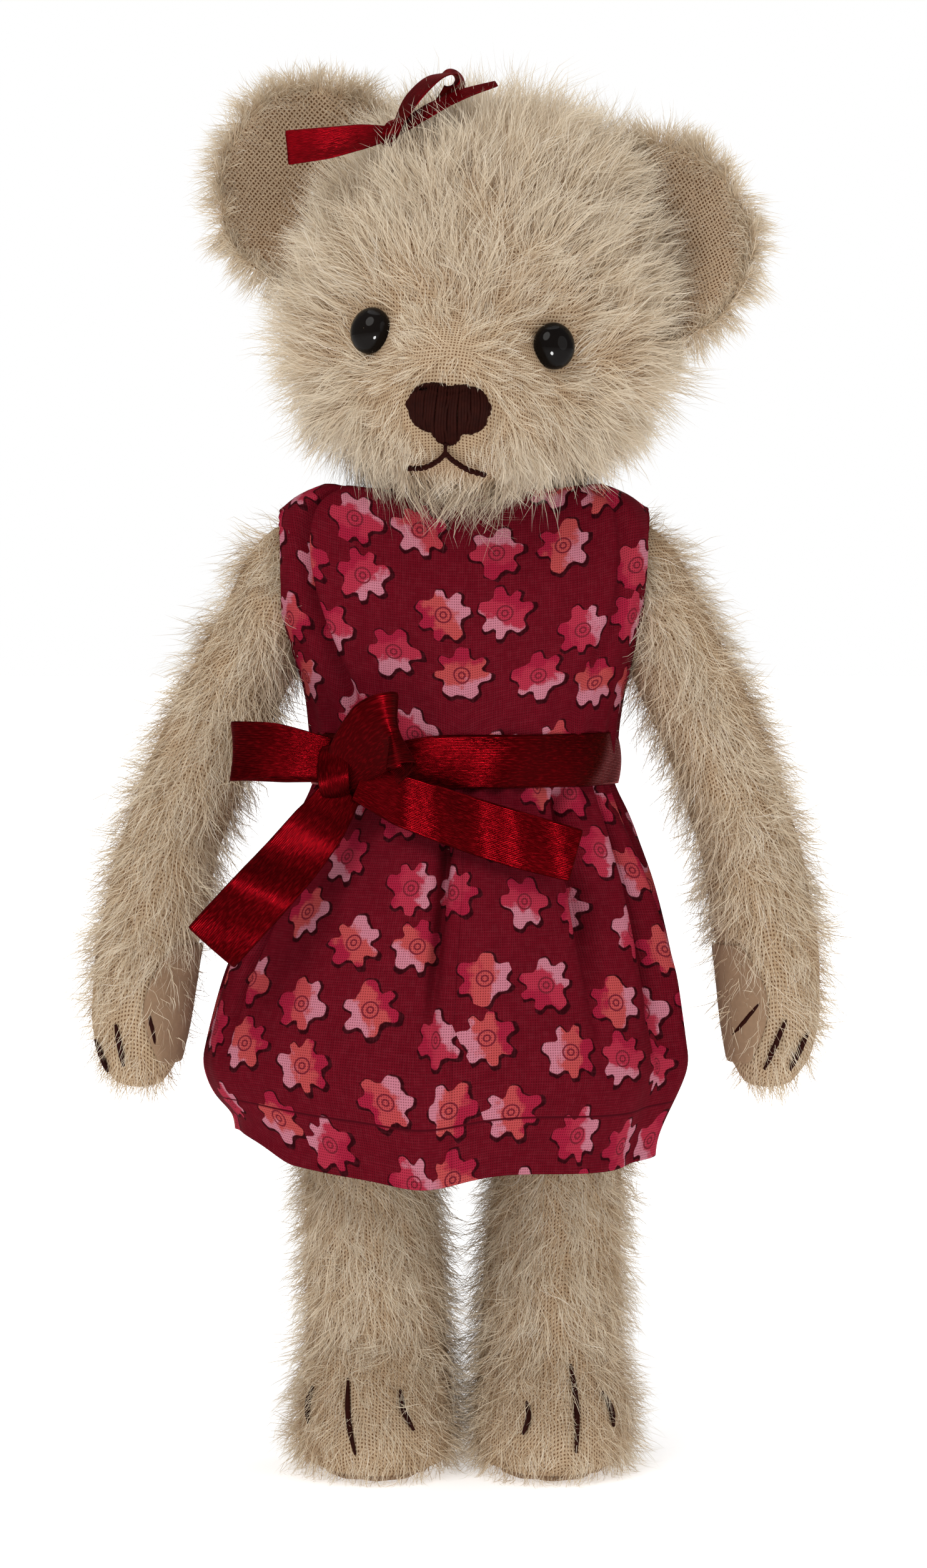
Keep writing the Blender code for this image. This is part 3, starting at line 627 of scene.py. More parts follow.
def strand_mesh(name, roots, normals, start, end_pull, wave, length, width, tint, rows, body, rng):
    """Tapered ribbons: each leaves its root along start, bends by end_pull on the way to its tip and
    swings from side to side by wave."""
    count = len(roots)
    t = rows[None, :, None]
    swing = np.sin(t * 5.2 + (roots @ np.array([310.0, 270.0, 350.0]))[:, None, None]) * t
    spine = roots[:, None] + length[:, None, None] * (start[:, None] * t + end_pull[:, None] * t**2)
    spine = spine + wave[:, None] * swing
    spine[:, :, 2] = np.maximum(spine[:, :, 2], FLOOR_GAP)
    along = unit(spine[:, -1] - spine[:, 0])
    flat = unit(np.cross(along, normals) + 1e-6)
    edge = unit(np.cross(along, flat))
    twist = rng.normal(0.0, 0.4, count)[:, None]
    across = flat * np.cos(twist) + edge * np.sin(twist)
    taper = np.sqrt(1.0 - rows**2.2)
    half = across[:, None] * (width[:, None, None] * taper[None, :, None] / 2)
    steps = len(rows)
    left = (spine - half)[:, : steps - 1]
    right = (spine + half)[:, : steps - 1]
    points = np.concatenate([left, right, spine[:, -1:]], axis=1)
    per = 2 * (steps - 1) + 1
    corners = [k for i in range(steps - 2) for k in (i, i + steps - 1, i + steps, i + 1)]
    corners += [steps - 2, per - 2, per - 1]
    u_side = [1.0 if steps - 1 <= k < per - 1 else 0.0 for k in corners]
    v_row = [1.0 if k == per - 1 else rows[k % (steps - 1)] for k in corners]
    base = (np.arange(count) * per)[:, None]
    vertex_index = (base + np.array(corners)[None, :]).ravel()
    sizes = np.array([4] * (steps - 2) + [3])
    starts = np.concatenate([[0], np.cumsum(sizes)[:-1]])
    loop_total = np.tile(sizes, count)
    loop_start = (np.arange(count)[:, None] * sizes.sum() + starts[None, :]).ravel()
    mesh = bpy.data.meshes.new(name)
    mesh.vertices.add(count * per)
    mesh.vertices.foreach_set("co", points.astype(np.float32).ravel())
    mesh.loops.add(len(vertex_index))
    mesh.loops.foreach_set("vertex_index", vertex_index.astype(np.int32))
    mesh.polygons.add(len(loop_start))
    mesh.polygons.foreach_set("loop_start", loop_start.astype(np.int32))
    mesh.polygons.foreach_set("loop_total", loop_total.astype(np.int32))
    mesh.update(calc_edges=True)
    u = np.clip(tint[:, None], 0.0, 0.97) * 0.96 + 0.03 * np.array(u_side)[None, :]
    v = np.broadcast_to(np.array(v_row)[None, :] * 0.98 + 0.01, u.shape)
    uv = mesh.uv_layers.new(name="OFBake")
    uv.data.foreach_set("uv", np.stack([u, v], axis=2).astype(np.float32).ravel())
    mesh.validate()
    obj = finished(name, mesh, "mohair")
    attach(obj, body)
    return obj


def locks(
    name, skin, body, count, seed, comb, length, weight, rise=even(0.46), lock_size=26, wild=0.16, curl=0.07
):
    """Long mohair: strands gathered into locks that lean the way comb says and stand off by rise."""
    rng = np.random.default_rng(seed)
    roots, normals = skin.sample(count, weight, rng)
    guides, guide_normals = skin.sample(max(8, count // lock_size), weight, rng)
    lean = comb(guides, guide_normals)
    lean = unit(lean - (lean * guide_normals).sum(1, keepdims=True) * guide_normals)
    sway = rng.normal(0.0, 0.30, (len(guides), 3))
    sway -= (sway * guide_normals).sum(1, keepdims=True) * guide_normals
    lean = unit(lean + sway)
    lift = rng.uniform(0.75, 1.3, len(guides)) * rise(guides, guide_normals)
    reach = length(guides) * rng.uniform(0.65, 1.12, len(guides))
    start = unit(guide_normals * lift[:, None] + lean * 0.75)
    wave = np.cross(start, rng.normal(0.0, 1.0, (len(guides), 3))) * curl * reach[:, None]
    droop = rng.normal(0.0, 0.10, (len(guides), 3)) + np.array([0.0, 0.0, -0.10])
    tree = finder(guides)
    owner = np.array([tree.find(p)[1] for p in roots])
    own_reach = np.minimum(reach[owner], length(roots) * 1.2) * rng.uniform(0.72, 1.08, count)
    own_start = unit(start[owner] + rng.normal(0.0, wild, (count, 3)))
    lifted = (own_start * normals).sum(1, keepdims=True)
    own_start = unit(own_start + np.clip(0.22 - lifted, 0, None) * normals)
    pull = droop[owner] + rng.normal(0.0, wild * 0.6, (count, 3))
    tip = guides[owner] + reach[owner, None] * (start[owner] + droop[owner])
    towards = (tip - (roots + own_reach[:, None] * (own_start + pull))) / own_reach[:, None]
    pull = pull + towards * (CLUMP * rng.uniform(0.5, 1.0, (count, 1)))
    sink = ((own_start + pull) * normals).sum(1, keepdims=True)
    pull = pull + np.clip(0.10 - sink, 0, None) * normals
    tint = np.clip(0.52 + rng.normal(0.0, 0.09, len(guides))[owner] + rng.normal(0.0, 0.15, count), 0, 1)
    width = rng.uniform(0.06, 0.115, count) * MM
    own_wave = wave[owner] + rng.normal(0.0, curl / 3, (count, 3)) * own_reach[:, None]
    sunk = roots - normals * 0.1 * MM
    return strand_mesh(
        name, sunk, normals, own_start, pull, own_wave, own_reach, width, tint, ROWS, body, rng
    )


def underfur(name, skin, body, count, seed, comb, length, weight):
    """Short soft pile between the locks."""
    rng = np.random.default_rng(seed)
    roots, normals = skin.sample(count, weight, rng)
    lean = comb(roots, normals)
    start = unit(normals * 0.55 + unit(lean) * 0.55 + rng.normal(0.0, 0.42, (count, 3)))
    lifted = (start * normals).sum(1, keepdims=True)
    start = unit(start + np.clip(0.2 - lifted, 0, None) * normals)
    pull = rng.normal(0.0, 0.22, (count, 3))
    reach = length(roots) * rng.uniform(0.6, 1.2, count)
    tint = np.clip(rng.normal(0.34, 0.16, count), 0, 1)
    width = rng.uniform(0.07, 0.11, count) * MM
    wave = rng.normal(0.0, 0.05, (count, 3)) * reach[:, None]
    sunk = roots - normals * 0.1 * MM
    return strand_mesh(name, sunk, normals, start, pull, wave, reach, width, tint, SHORT_ROWS, body, rng)


def clear_of(spots, near, radius):
    """A weight that is 0 within near of the spots and grows to 1 at radius from them."""
    tree = finder(spots)
    return lambda points: np.array([ramp(tree.find(p)[2], near, radius) for p in points])


def clear_of_threads(paths, radius):
    return clear_of(np.concatenate([np.asarray(path) for path in paths if len(path)]), 0.5 * radius, radius)


# --- places read from the frame ------------------------------------------------------------------
SIDES = {"left": 1.0, "right": -1.0}


def joint_point(name):
    return np.array(next(j for j in frame["joints"] if j["name"] == name)["pos_m"], float)


def corners_of(node):
    """The low and the high corner of a node's box."""
    return [np.array(corner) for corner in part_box(node)]


def middle(node):
    low, high = corners_of(node)
    return (low + high) / 2


NECK = joint_point("neck_turn")
EYES = {side: middle(f"eye_{side}") for side in SIDES}
SKULL_LIFT = 28.0 * MM
HEAD_X = unit(EYES["left"] - EYES["right"])
HEAD_FRONT = unit(np.cross(HEAD_X, (0.0, 0.0, 1.0)))
HEAD_UP = np.cross(HEAD_X, -HEAD_FRONT)
HEAD_AXES = np.stack([HEAD_X, -HEAD_FRONT, HEAD_UP])
SKULL = NECK + SKULL_LIFT * HEAD_UP


def to_head(points):
    """World metres to millimetres about the skull's centre: x to the bear's left, y back, z up."""
    return (np.asarray(points) - SKULL) @ HEAD_AXES.T / MM


def from_head(local):
    return SKULL + np.asarray(local, float) @ HEAD_AXES * MM


def ramp(value, low, high):
    t = np.clip((value - low) / (high - low), 0.0, 1.0)
    return t * t * (3 - 2 * t)


def bell(value, width):
    return np.exp(-((value / width) ** 2))


def turn_between(angle, other):
    """How far apart two directions are, whichever way round is shorter."""
    return np.abs(np.angle(np.exp(1j * (angle - other))))


def spline(points, count):
    """A smooth path through points, evenly spread."""
    points = np.asarray(points, float)
    padded = np.concatenate([[2 * points[0] - points[1]], points, [2 * points[-1] - points[-2]]])
    out = []
    for s in np.linspace(0, len(points) - 1 - 1e-9, count):
        i, t = int(s), s - int(s)
        a, b, c, d = padded[i : i + 4]
        out.append(
            0.5 * (2 * b + (c - a) * t + (2 * a - 5 * b + 4 * c - d) * t**2 + (3 * b - a - 3 * c + d) * t**3)
        )
    return np.array(out)


# --- head ----------------------------------------------------------------------------------------
MUZZLE_TIP = np.array([0.0, -34.0, -9.0])
# Where the head is fuller than its shell: direction, height in millimetres and width in radians.
HEAD_SWELLS = (
    ((0.52, -0.10, 0.85), 1.6, 0.34),
    ((0.80, -0.38, -0.42), 2.4, 0.42),
    ((-0.80, -0.38, -0.42), 2.4, 0.42),
)
EYE_SHIFT = {"left": np.array([-0.6, 0.0, -1.1]), "right": np.array([0.6, 0.0, -1.1])}
EYE_LOCAL = {side: to_head(point) + EYE_SHIFT[side] for side, point in EYES.items()}


def head_radius(tree, direction):
    """Distance from the skull's centre to the shell's outside, or nan where a hole lets the ray in."""
    far = 80 * MM
    way = Vector(direction @ HEAD_AXES)
    hit = tree.ray_cast(Vector(SKULL) + way * far, -way)
    if hit[0] is None or far - hit[3] < 15 * MM:
        return np.nan
    return far - hit[3]


def head_skin():
    """The head's cloth: the CAD shell smoothed, with fuller cheeks and a dip round each eye."""
    rows, columns = 96, 150
    polar = np.linspace(0.03, math.pi - 0.42, rows)[:, None]
    turn = math.pi / 2 + TAU * np.arange(columns)[None, :] / columns
    level = np.sin(polar)
    way = np.stack([level * np.cos(turn), level * np.sin(turn), np.cos(polar) + 0 * turn], 2)
    tree = tree_of("head_shell")
    radius = np.array([[head_radius(tree, d) for d in row] for row in way])
    rows_mean = np.nanmean(radius, axis=1, keepdims=True)
    for _ in range(6):
        near = np.nanmean([np.roll(radius, 1, 1), np.roll(radius, -1, 1), rows_mean + 0 * radius], axis=0)
        radius = np.where(np.isnan(radius), near, radius)
    radius = smoothed(radius, 9, closed=True)
    radius += 2.2 * MM * ramp(way[:, :, 2], 0.45, 0.9)
    angle_to = lambda spot: np.arccos(np.clip(way @ unit(np.array(spot)), -1, 1))
    for spot, height, width in HEAD_SWELLS:
        radius += height * MM * bell(angle_to(spot), width)
    for point in EYE_LOCAL.values():
        radius -= 0.9 * MM * bell(angle_to(point) * 24.0, 4.6)
    grid = SKULL + (way * radius[:, :, None]) @ HEAD_AXES
    cloth = fitted_cloth(grid, columns // 2)
    obj = grid_object("head_skin", grid, "backing", closed=True, cloth=cloth)
    stands_for(obj, "head_shell", "head")
    return obj


def bvh(obj):
    mesh = obj.data
    return BVHTree.FromPolygons([v.co for v in mesh.vertices], [tuple(p.vertices) for p in mesh.polygons])


class Face:
    """Points on the front of the head, found by looking straight back at the skin."""

    def __init__(self, skin):
        self.tree = bvh(skin)

    def at(self, x, z, lift=0.0):
        start = Vector(from_head((x, -60.0, z)))
        hit, normal = self.tree.ray_cast(start, Vector(-HEAD_FRONT))[:2]
        if normal.dot(Vector(HEAD_FRONT)) < 0:
            normal = -normal
        return np.array(hit) + np.array(normal) * lift * MM


def mouth_reach(local):
    """Distance from the mouth, where 1 is the edge of the short hair round it."""
    return np.hypot(local[:, 0] / 8.5, (local[:, 2] + 20.5) / 3.4)


def head_comb(points, _normals):
    """Hair leans away from the bridge of the nose in front and hangs down behind."""
    local = to_head(points)
    bridge = np.array([0.0, -30.0, -6.0])
    away = unit(local - bridge)
    away[:, 2] += 1.0 * ramp(local[:, 2], -12, 6) - 0.45 * ramp(-local[:, 2], 6, 18)
    chin = ramp(-local[:, 2], 16, 22) * ramp(-local[:, 1], -8, 2)
    chin *= ramp(mouth_reach(local), 0.9, 1.5)
    away[:, 1] -= 0.9 * chin
    away[:, 2] -= 0.6 * chin
    back = ramp(local[:, 1], -2, 14)[:, None]
    lean = unit(away) * (1 - back) + np.array([0.0, 0.12, -1.0]) * back
    return lean @ HEAD_AXES


def eye_gap(points, radius, soft):
    """0 over each eye, growing to 1 past radius."""
    local = to_head(points)
    keep = np.ones(len(local))
    for eye in EYE_LOCAL.values():
        across = local[:, 0] - eye[0] + math.copysign(0.9, eye[0])
        keep *= np.clip((np.hypot(across, local[:, 2] - eye[2]) - radius) / soft, 0, 1)
    return np.where(local[:, 1] < -8, keep, 1.0)


def head_rise(points, _normals):
    """Hair lies low over the brow and stands out at the sides and on the crown."""
    local = to_head(points)
    side = ramp(np.abs(local[:, 0]), 12, 24) * ramp(local[:, 2], -20, -4)
    return 0.36 + 0.50 * side + 0.60 * ramp(local[:, 2], 16, 26)


def head_length(points):
    """Short on the muzzle and round the eyes, longer on the crown and under the chin."""
    local = to_head(points)
    tip = np.linalg.norm(local - MUZZLE_TIP, axis=1)
    length = 3.6 + 1.8 * ramp(local[:, 2], -10, -6) + 5.0 * ramp(tip, 9.0, 22.0)
    length += 3.4 * ramp(-local[:, 2], 15, 21) * ramp(20 - tip, 0, 8)
    length *= 0.40 + 0.60 * eye_gap(points, 3.4, 5.0)
    mouth = mouth_reach(local)
    length *= np.where(local[:, 1] < -16, 0.45 + 0.55 * ramp(mouth, 0.7, 1.5), 1.0)
    crown = ramp(local[:, 2], 14, 24)
    chin = ramp(-local[:, 2], 17, 23) * ramp(-local[:, 1], -8, 0)
    chin *= ramp(mouth, 1.1, 1.7)
    longest = 10.0 - 2.0 * ramp(local[:, 1], -4, 10) + 2.5 * chin
    return np.minimum(length + 1.0 * crown + 3.5 * chin, longest) * MM


NOSE_SPOT = np.array([0.0, -14.8])


def head_weight(points, _normals):
    """How thick the hair grows: thin over the muzzle's top, and none on the eyes, nose and mouth."""
    local = to_head(points)
    tip = np.linalg.norm(local - MUZZLE_TIP, axis=1)
    keep = 0.70 + 0.30 * ramp(tip, 10, 20)
    patch = np.sin(local[:, 0] * 0.31 + 1.3) * np.sin(local[:, 2] * 0.37 + 0.4)
    patch = patch + 0.5 * np.sin(local[:, 0] * 0.8)
    keep *= np.where(local[:, 2] < 18, 0.78 + 0.30 * patch, 1.0)
    keep *= eye_gap(points, 3.6, 1.0)
    front = local[:, 1] < -20
    nose = np.hypot((local[:, 0] - NOSE_SPOT[0]) / 6.9, (local[:, 2] - NOSE_SPOT[1]) / 5.2)
    return np.where(front & (nose < 1.0), 0.0, keep)


def head_fur(skin, face):
    surface = Skin(skin)
    mouth = clear_of_threads(mouth_lines(face), 3.1 * MM)
    front = lambda p, n: head_weight(p, n) * mouth(p) * (to_head(p)[:, 1] < 2)
    rear = lambda p, n: head_weight(p, n) * (to_head(p)[:, 1] >= 2)
    under_weight = lambda p, n: head_weight(p, n) * mouth(p)
    parts = (("front", 25000, 11, front, 16), ("back", 16000, 12, rear, 18))
    for part, count, seed, weight, size in parts:
        name = f"head_locks_{part}"
        locks(name, surface, "head", count, seed, head_comb, head_length, weight, head_rise, size, 0.22, 0.10)
    under = lambda p: 0.3 * head_length(p) + 0.4 * MM
    underfur("head_underfur", surface, "head", 10000, 13, head_comb, under, under_weight)


EAR_CUP = 6.5 * MM
EAR_SHIFT = {"left": np.array([0.4, 0.0, -3.0]) * MM, "right": np.array([-1.2, 0.0, 1.6]) * MM}
EAR_WALL = 2.2 * MM


def make_ear(side):
    """A round ear cupped forward: trimmed cloth inside, long hair outside and round the rim."""
    node = NODES[f"ear_{side}"]
    points = np.array([v.co for v in node.data.vertices])
    outer = unit(middle(f"ear_{side}") - SKULL)
    cloud = points - points.mean(0)
    facing = np.linalg.svd(cloud, full_matrices=False)[2][2]
    facing *= math.copysign(1.0, facing @ HEAD_FRONT)
    up = unit(outer - (outer @ facing) * facing)
    across = np.cross(facing, up)
    radius = np.abs(cloud @ across).max()
    centre = points.mean(0) + up * ((cloud @ up).max() - radius) + facing * (cloud @ facing).min() * 0.25
    centre = centre + EAR_SHIFT[side] @ HEAD_AXES
    radius *= 1.05
    rings, segments = 16, 72
    grid = []
    front_rings = [(1, share) for share in np.linspace(0.02, 1, rings)]
    back_rings = [(-1, share) for share in np.linspace(1, 0.02, rings)]
    for half, share in front_rings + back_rings:
        ring = []
        for a in TAU * np.arange(segments) / segments:
            rim = radius * (1 + 0.018 * math.sin(3 * a + 1) + 0.012 * math.sin(7 * a))
            depth = EAR_CUP * (share**2 - 0.5) + half * EAR_WALL / 2 * math.sqrt(max(0.0, 1 - share**6))
            wave = 0.35 * MM * math.sin(4 * a + 2) * share
            flat = across * math.cos(a) + up * math.sin(a)
            ring.append(centre + flat * rim * share + facing * (depth + wave))
        grid.append(ring)
    grid = np.array(grid)
    flat = np.stack([(grid - centre) @ across, (grid - centre) @ up], axis=2)
    flat = np.concatenate([flat, flat[:, :1]], axis=1)
    obj = grid_object(f"ear_skin_{side}", grid, "ear_lining", closed=True, cloth=flat)
    stands_for(obj, f"ear_{side}", "head")
    surface = Skin(obj)

    def spread(p, _n):
        return np.hypot((p - centre) @ across, (p - centre) @ up) / radius

    def outward(p, _n):
        flat_part = (p - centre) - ((p - centre) @ facing)[:, None] * facing
        return unit(flat_part) - 0.35 * facing + np.array([0, 0, -0.15])

    def off_head(p, low, high):
        return ramp(np.linalg.norm(p - SKULL, axis=1), low * MM, high * MM)

    def behind(p, n):
        return np.where(n @ facing < 0.25, 1.0, 0.0) * off_head(p, 22, 25)

    def rim_hair(p, n):
        return ramp(spread(p, n), 0.90, 0.97) * off_head(p, 24, 27)

    def inside(_p, n):
        return np.where(n @ facing > 0.25, 1.0, 0.0)

    def lining_hair(p, n):
        return inside(p, n) * (0.30 + ramp(spread(p, n), 0.45, 0.9))

    seed = 31 if side == "left" else 41
    locks(f"ear_locks_{side}", surface, "head", 4600, seed, outward, even(6.4 * MM), behind)
    name, length = f"ear_rim_{side}", even(5.4 * MM)
    locks(name, surface, "head", 3400, seed + 1, outward, length, rim_hair, lock_size=9, wild=0.28)
    name, length = f"ear_lining_hair_{side}", even(3.6 * MM)
    locks(name, surface, "head", 4200, seed + 3, outward, length, lining_hair, even(0.85), 9, 0.34)
    underfur(f"ear_fuzz_{side}", surface, "head", 2600, seed + 2, outward, even(0.9 * MM), inside)


EYE_TILT = math.radians(9.0)
EYE_HALF_WIDTH = 3.1
EYE_HALF_HEIGHT = 3.5


def make_eye(side, face):
    """A domed glass button, a little taller than wide."""
    x, _, z = EYE_LOCAL[side]
    base = face.at(x, z, 0.1)
    nearby = [face.at(x + dx, z + dz) for dx, dz in ((3, 0), (-3, 0), (0, 3), (0, -3))]
    normal = unit(np.cross(nearby[0] - nearby[1], nearby[2] - nearby[3]))
    normal *= math.copysign(1.0, normal @ HEAD_FRONT)
    normal = unit(normal + 1.1 * HEAD_FRONT)
    right = unit(np.cross(HEAD_UP, normal))
    up = np.cross(normal, right)
    tilt = EYE_TILT * SIDES[side]
    right, up = right * math.cos(tilt) + up * math.sin(tilt), up * math.cos(tilt) - right * math.sin(tilt)
    rings, segments = 20, 56
    grid = []
    for s in np.linspace(0.01, 1.0, rings):
        angle = s * math.radians(112)
        ring = []
        for a in TAU * np.arange(segments) / segments:
            flat = right * math.cos(a) * EYE_HALF_WIDTH + up * math.sin(a) * EYE_HALF_HEIGHT
            ring.append(base + MM * (flat * math.sin(angle) + normal * (2.3 * math.cos(angle) + 1.5)))
        grid.append(ring)
    obj = grid_object(f"eye_button_{side}", grid, "eye", closed=True)
    stands_for(obj, f"eye_{side}", "head")


# Heights and widths on the face, in millimetres about the skull's centre.
NOSE_TOP = -11.3
NOSE_FOOT = -19.9
NOSE_HALF = 5.5
MOUTH_LIFT = 1.15


def nose_outline(x):
    """Top and bottom of the nose at x: two round lobes side by side, and a stem below them."""
    side = abs(x) / NOSE_HALF
    corner = 1.0 - math.sqrt(max(0.0, 1.0 - side**3.6))
    top = NOSE_TOP - 0.3 * math.exp(-((x / 0.9) ** 2)) - 2.3 * corner
    lobe = NOSE_TOP - 6.9 + 3.0 * corner
    stem = NOSE_FOOT + 2.0 * (abs(x) / 2.1) ** 3
    return top, min(lobe, stem)


def make_nose(face):
    """Upright satin stitches over a padded nose, laid close side by side."""
    rng = np.random.default_rng(5)
    stitches = []
    for x in np.arange(-NOSE_HALF, NOSE_HALF + 0.01, NOSE_HALF / 14):
        top, foot = nose_outline(x)
        crown = 1.6 * math.sqrt(max(0.0, 1 - (x / (NOSE_HALF + 0.6)) ** 2)) + 0.35
        crown -= 0.35 * math.exp(-((x / 0.7) ** 2))
        slip = rng.normal(0.0, 0.08, 2)
        path = []
        for t in np.linspace(0, 1, 12):
            z = (top + slip[0]) * (1 - t) + (foot + slip[1]) * t
            swell = math.sin(math.pi * min(max(t, 0.0), 1.0)) ** 0.5
            path.append(face.at(x + 0.05 * math.sin(9 * t + x), z, crown * swell - 0.1))
        stitches.append(path)
    obj = tube_object("nose_stitches", stitches, 0.31 * MM, sides=9)
    stands_for(obj, "nose", "head")


def mouth_lines(face):
    """The stitch from the nose down, and its two sagging arms, as points on the muzzle."""
    lines = [
        [(0.0, NOSE_FOOT + 0.6), (-0.05, -20.1), (-0.1, -20.6)],
        [(-0.1, -20.4), (-1.3, -21.5), (-3.3, -22.5), (-5.8, -22.8)],
        [(-0.1, -20.4), (1.0, -21.3), (2.8, -22.3), (5.0, -22.8)],
    ]
    paths = []
    for line in lines:
        flat = spline([(x, 0, z) for x, z in line], 32)
        paths.append(np.array([face.at(x, z, MOUTH_LIFT) for x, _, z in flat]))
    return paths


def make_mouth(face):
    """Each line is two plies twisted together."""
    threads = []
    for core in mouth_lines(face):
        for phase in (0.0, math.pi):
            along = np.arange(len(core)) * 0.9 + phase
            ply = np.sin(along)[:, None] * HEAD_UP + np.cos(along)[:, None] * HEAD_FRONT
            threads.append(core + 0.19 * MM * ply)
    obj = tube_object("mouth_stitch", threads, 0.28 * MM)
    stands_for(obj, "mouth_thread", "head")


# --- limbs ---------------------------------------------------------------------------------------
def limb_skin(name, node, body, levels, columns, plump=0.0):
    """The cloth of a limb or the torso, as a closed bag moved out by plump."""
    grid = level_skin(node, levels, columns)
    centre = grid.mean(1, keepdims=True)
    grid = capped(grid + unit(grid - centre) * plump)
    cloth = fitted_cloth(grid, 3 * columns // 4)
    obj = grid_object(name, grid, "backing", closed=True, cloth=cloth)
    stands_for(obj, node, body)
    return obj


def refined(node, name, body, share=1.0):
    """A fine suede copy of a CAD pad, with softened edges, drawn in level by share about its middle."""
    bm = bmesh.new()
    bm.from_mesh(NODES[node].data)
    bmesh.ops.remove_doubles(bm, verts=bm.verts, dist=0.02 * MM)
    about = Matrix.Translation(-Vector(middle(node)))
    bmesh.ops.scale(bm, vec=(share, share, 1.0), space=about, verts=bm.verts)
    mesh = bpy.data.meshes.new(name)
    bm.to_mesh(mesh)
    bm.free()
    mesh.materials.clear()
    obj = finished(name, mesh, "suede")
    add_modifier(obj, "SUBSURF", levels=2, render_levels=2)
    add_modifier(obj, "SMOOTH", factor=0.5, iterations=6)
    apply_modifiers(obj)
    obj.data.polygons.foreach_set("use_smooth", [True] * len(obj.data.polygons))
    stands_for(obj, node, body)
    return obj


PAD_GAP = 1.7 * MM


def make_arm(side):
    """One arm with its pad, its claws and its hair, all hung the same way."""
    body = f"arm_{side}"
    skin = limb_skin(f"arm_skin_{side}", f"{body}_shell", body, 90, 44, 0.5 * MM)
    pad = refined(f"paw_pad_{side}", f"paw_suede_{side}", body)
    surface = Skin(skin)
    low = corners_of(f"{body}_shell")[0]
    pad_points = [vertex.co for vertex in NODES[f"paw_pad_{side}"].data.vertices]
    pad_gap = clear_of(pad_points, 0.4 * PAD_GAP, PAD_GAP)
    claw_object, paths = arm_claws(side, skin, low)
    claws = clear_of_threads(paths, 1.1 * MM)
    shoulder = joint_point(f"shoulder_{side}")
    inner = SIDES[side]

    def comb(points, normals):
        lean = np.array([0.30 * inner, 0.0, -1.0]) + 0.25 * normals
        return lean + 0.35 * np.sin(points[:, 2:] * 420 + points[:, :1] * 300) * np.array([0.6, 0.6, 0.0])

    def keep(points, normals):
        rubbing = (normals[:, 0] * inner < -0.55) & (points[:, 2] > shoulder[2] - 12 * MM)
        hand = 0.62 + 0.38 * ramp(points[:, 2], low[2] + 12 * MM, low[2] + 24 * MM)
        patches = 0.55 + 0.45 * np.sin(points[:, 2] * 310 + points[:, 0] * 500) * np.sin(points[:, 1] * 420)
        return pad_gap(points) * claws(points) * np.where(rubbing, 0.25, 1.0) * hand * patches

    def length(points):
        return (6.6 - 2.6 * ramp(-points[:, 2], -low[2] - 18 * MM, -low[2] - 4 * MM)) * MM

    def rise(points, normals):
        return 0.75 - 0.3 * ramp(-normals[:, 1], 0.3, 0.9)

    seed = 50 if side == "left" else 60
    hair = locks(f"arm_locks_{side}", surface, body, 11000, seed, comb, length, keep, rise, 9, 0.32, 0.13)
    under = lambda p: 0.4 * length(p)
    short = underfur(f"arm_underfur_{side}", surface, body, 6000, seed + 1, comb, under, keep)
    for obj in (skin, pad, claw_object, hair, short):
        hang_arm(obj, side, shoulder[2], low[2])


# How far each paw hangs from where its shell does: outward, and down.
PAW_SHIFT = {"left": (-0.4 * MM, -3.0 * MM), "right": (-2.6 * MM, -3.0 * MM)}


def hang_arm(obj, side, top, foot):
    """Let the arm's lower part hang a little lower and further out, most at the paw."""
    points = vectors(obj.data)
    down = np.clip((top - points[:, 2]) / (top - foot), 0.0, 1.0)
    out, drop = PAW_SHIFT[side]
    points[:, 0] += out * down**1.6
    points[:, 2] += drop * down**2
    obj.data.vertices.foreach_set("co", points.astype(np.float32).ravel())
    obj.data.update()


CLAW_THREAD = 0.42 * MM
# Each claw stitch on a hand: where it begins and ends, as outward and upward from the paw's low end.
HAND_CLAWS = {
    "left": [((-1.8, 12.2), (-6.0, 6.6)), ((1.6, 9.4), (-1.2, 2.6)), ((5.0, 7.6), (2.4, 2.4))],
    "right": [((-1.6, 10.8), (-2.8, 5.6)), ((3.0, 8.8), (1.6, 3.0)), ((6.0, 6.4), (4.0, 2.0))],
}


def stitch_path(tree, starts, way, lift):
    """A thread laid on a skin, found by looking at it along one direction."""
    path = []
    for start in starts:
        hit, normal = tree.ray_cast(Vector(start), Vector(way))[:2]
        if hit is None:
            continue
        if normal.dot(Vector(way)) > 0:
            normal = -normal
        path.append(np.array(hit) + np.array(normal) * lift)
    return path


def arm_claws(side, skin, low):
    """Three long stitches over the end of the paw."""
    tree = bvh(skin)
    centre = middle(f"arm_{side}_shell")
    hand = section_centre(tree_of(f"arm_{side}_shell"), tuple(centre[:2]), low[2] + 6 * MM)
    outer = SIDES[side]
    paths = []
    for begin, end in HAND_CLAWS[side]:
        starts = []
        for t in np.linspace(0, 1, 18):
            x = hand[0] + outer * (begin[0] * (1 - t) + end[0] * t) * MM
            starts.append((x, hand[1] - 40 * MM, low[2] + (begin[1] * (1 - t) + end[1] * t) * MM))
        paths.append(stitch_path(tree, starts, (0, 1, 0), 0.45 * MM))
    name = f"claw_stitches_hand_{side}"
    obj = tube_object(name, paths, CLAW_THREAD, taper=True)
    stands_for(obj, f"claw_thread_hand_{side}", f"arm_{side}")
    return obj, paths


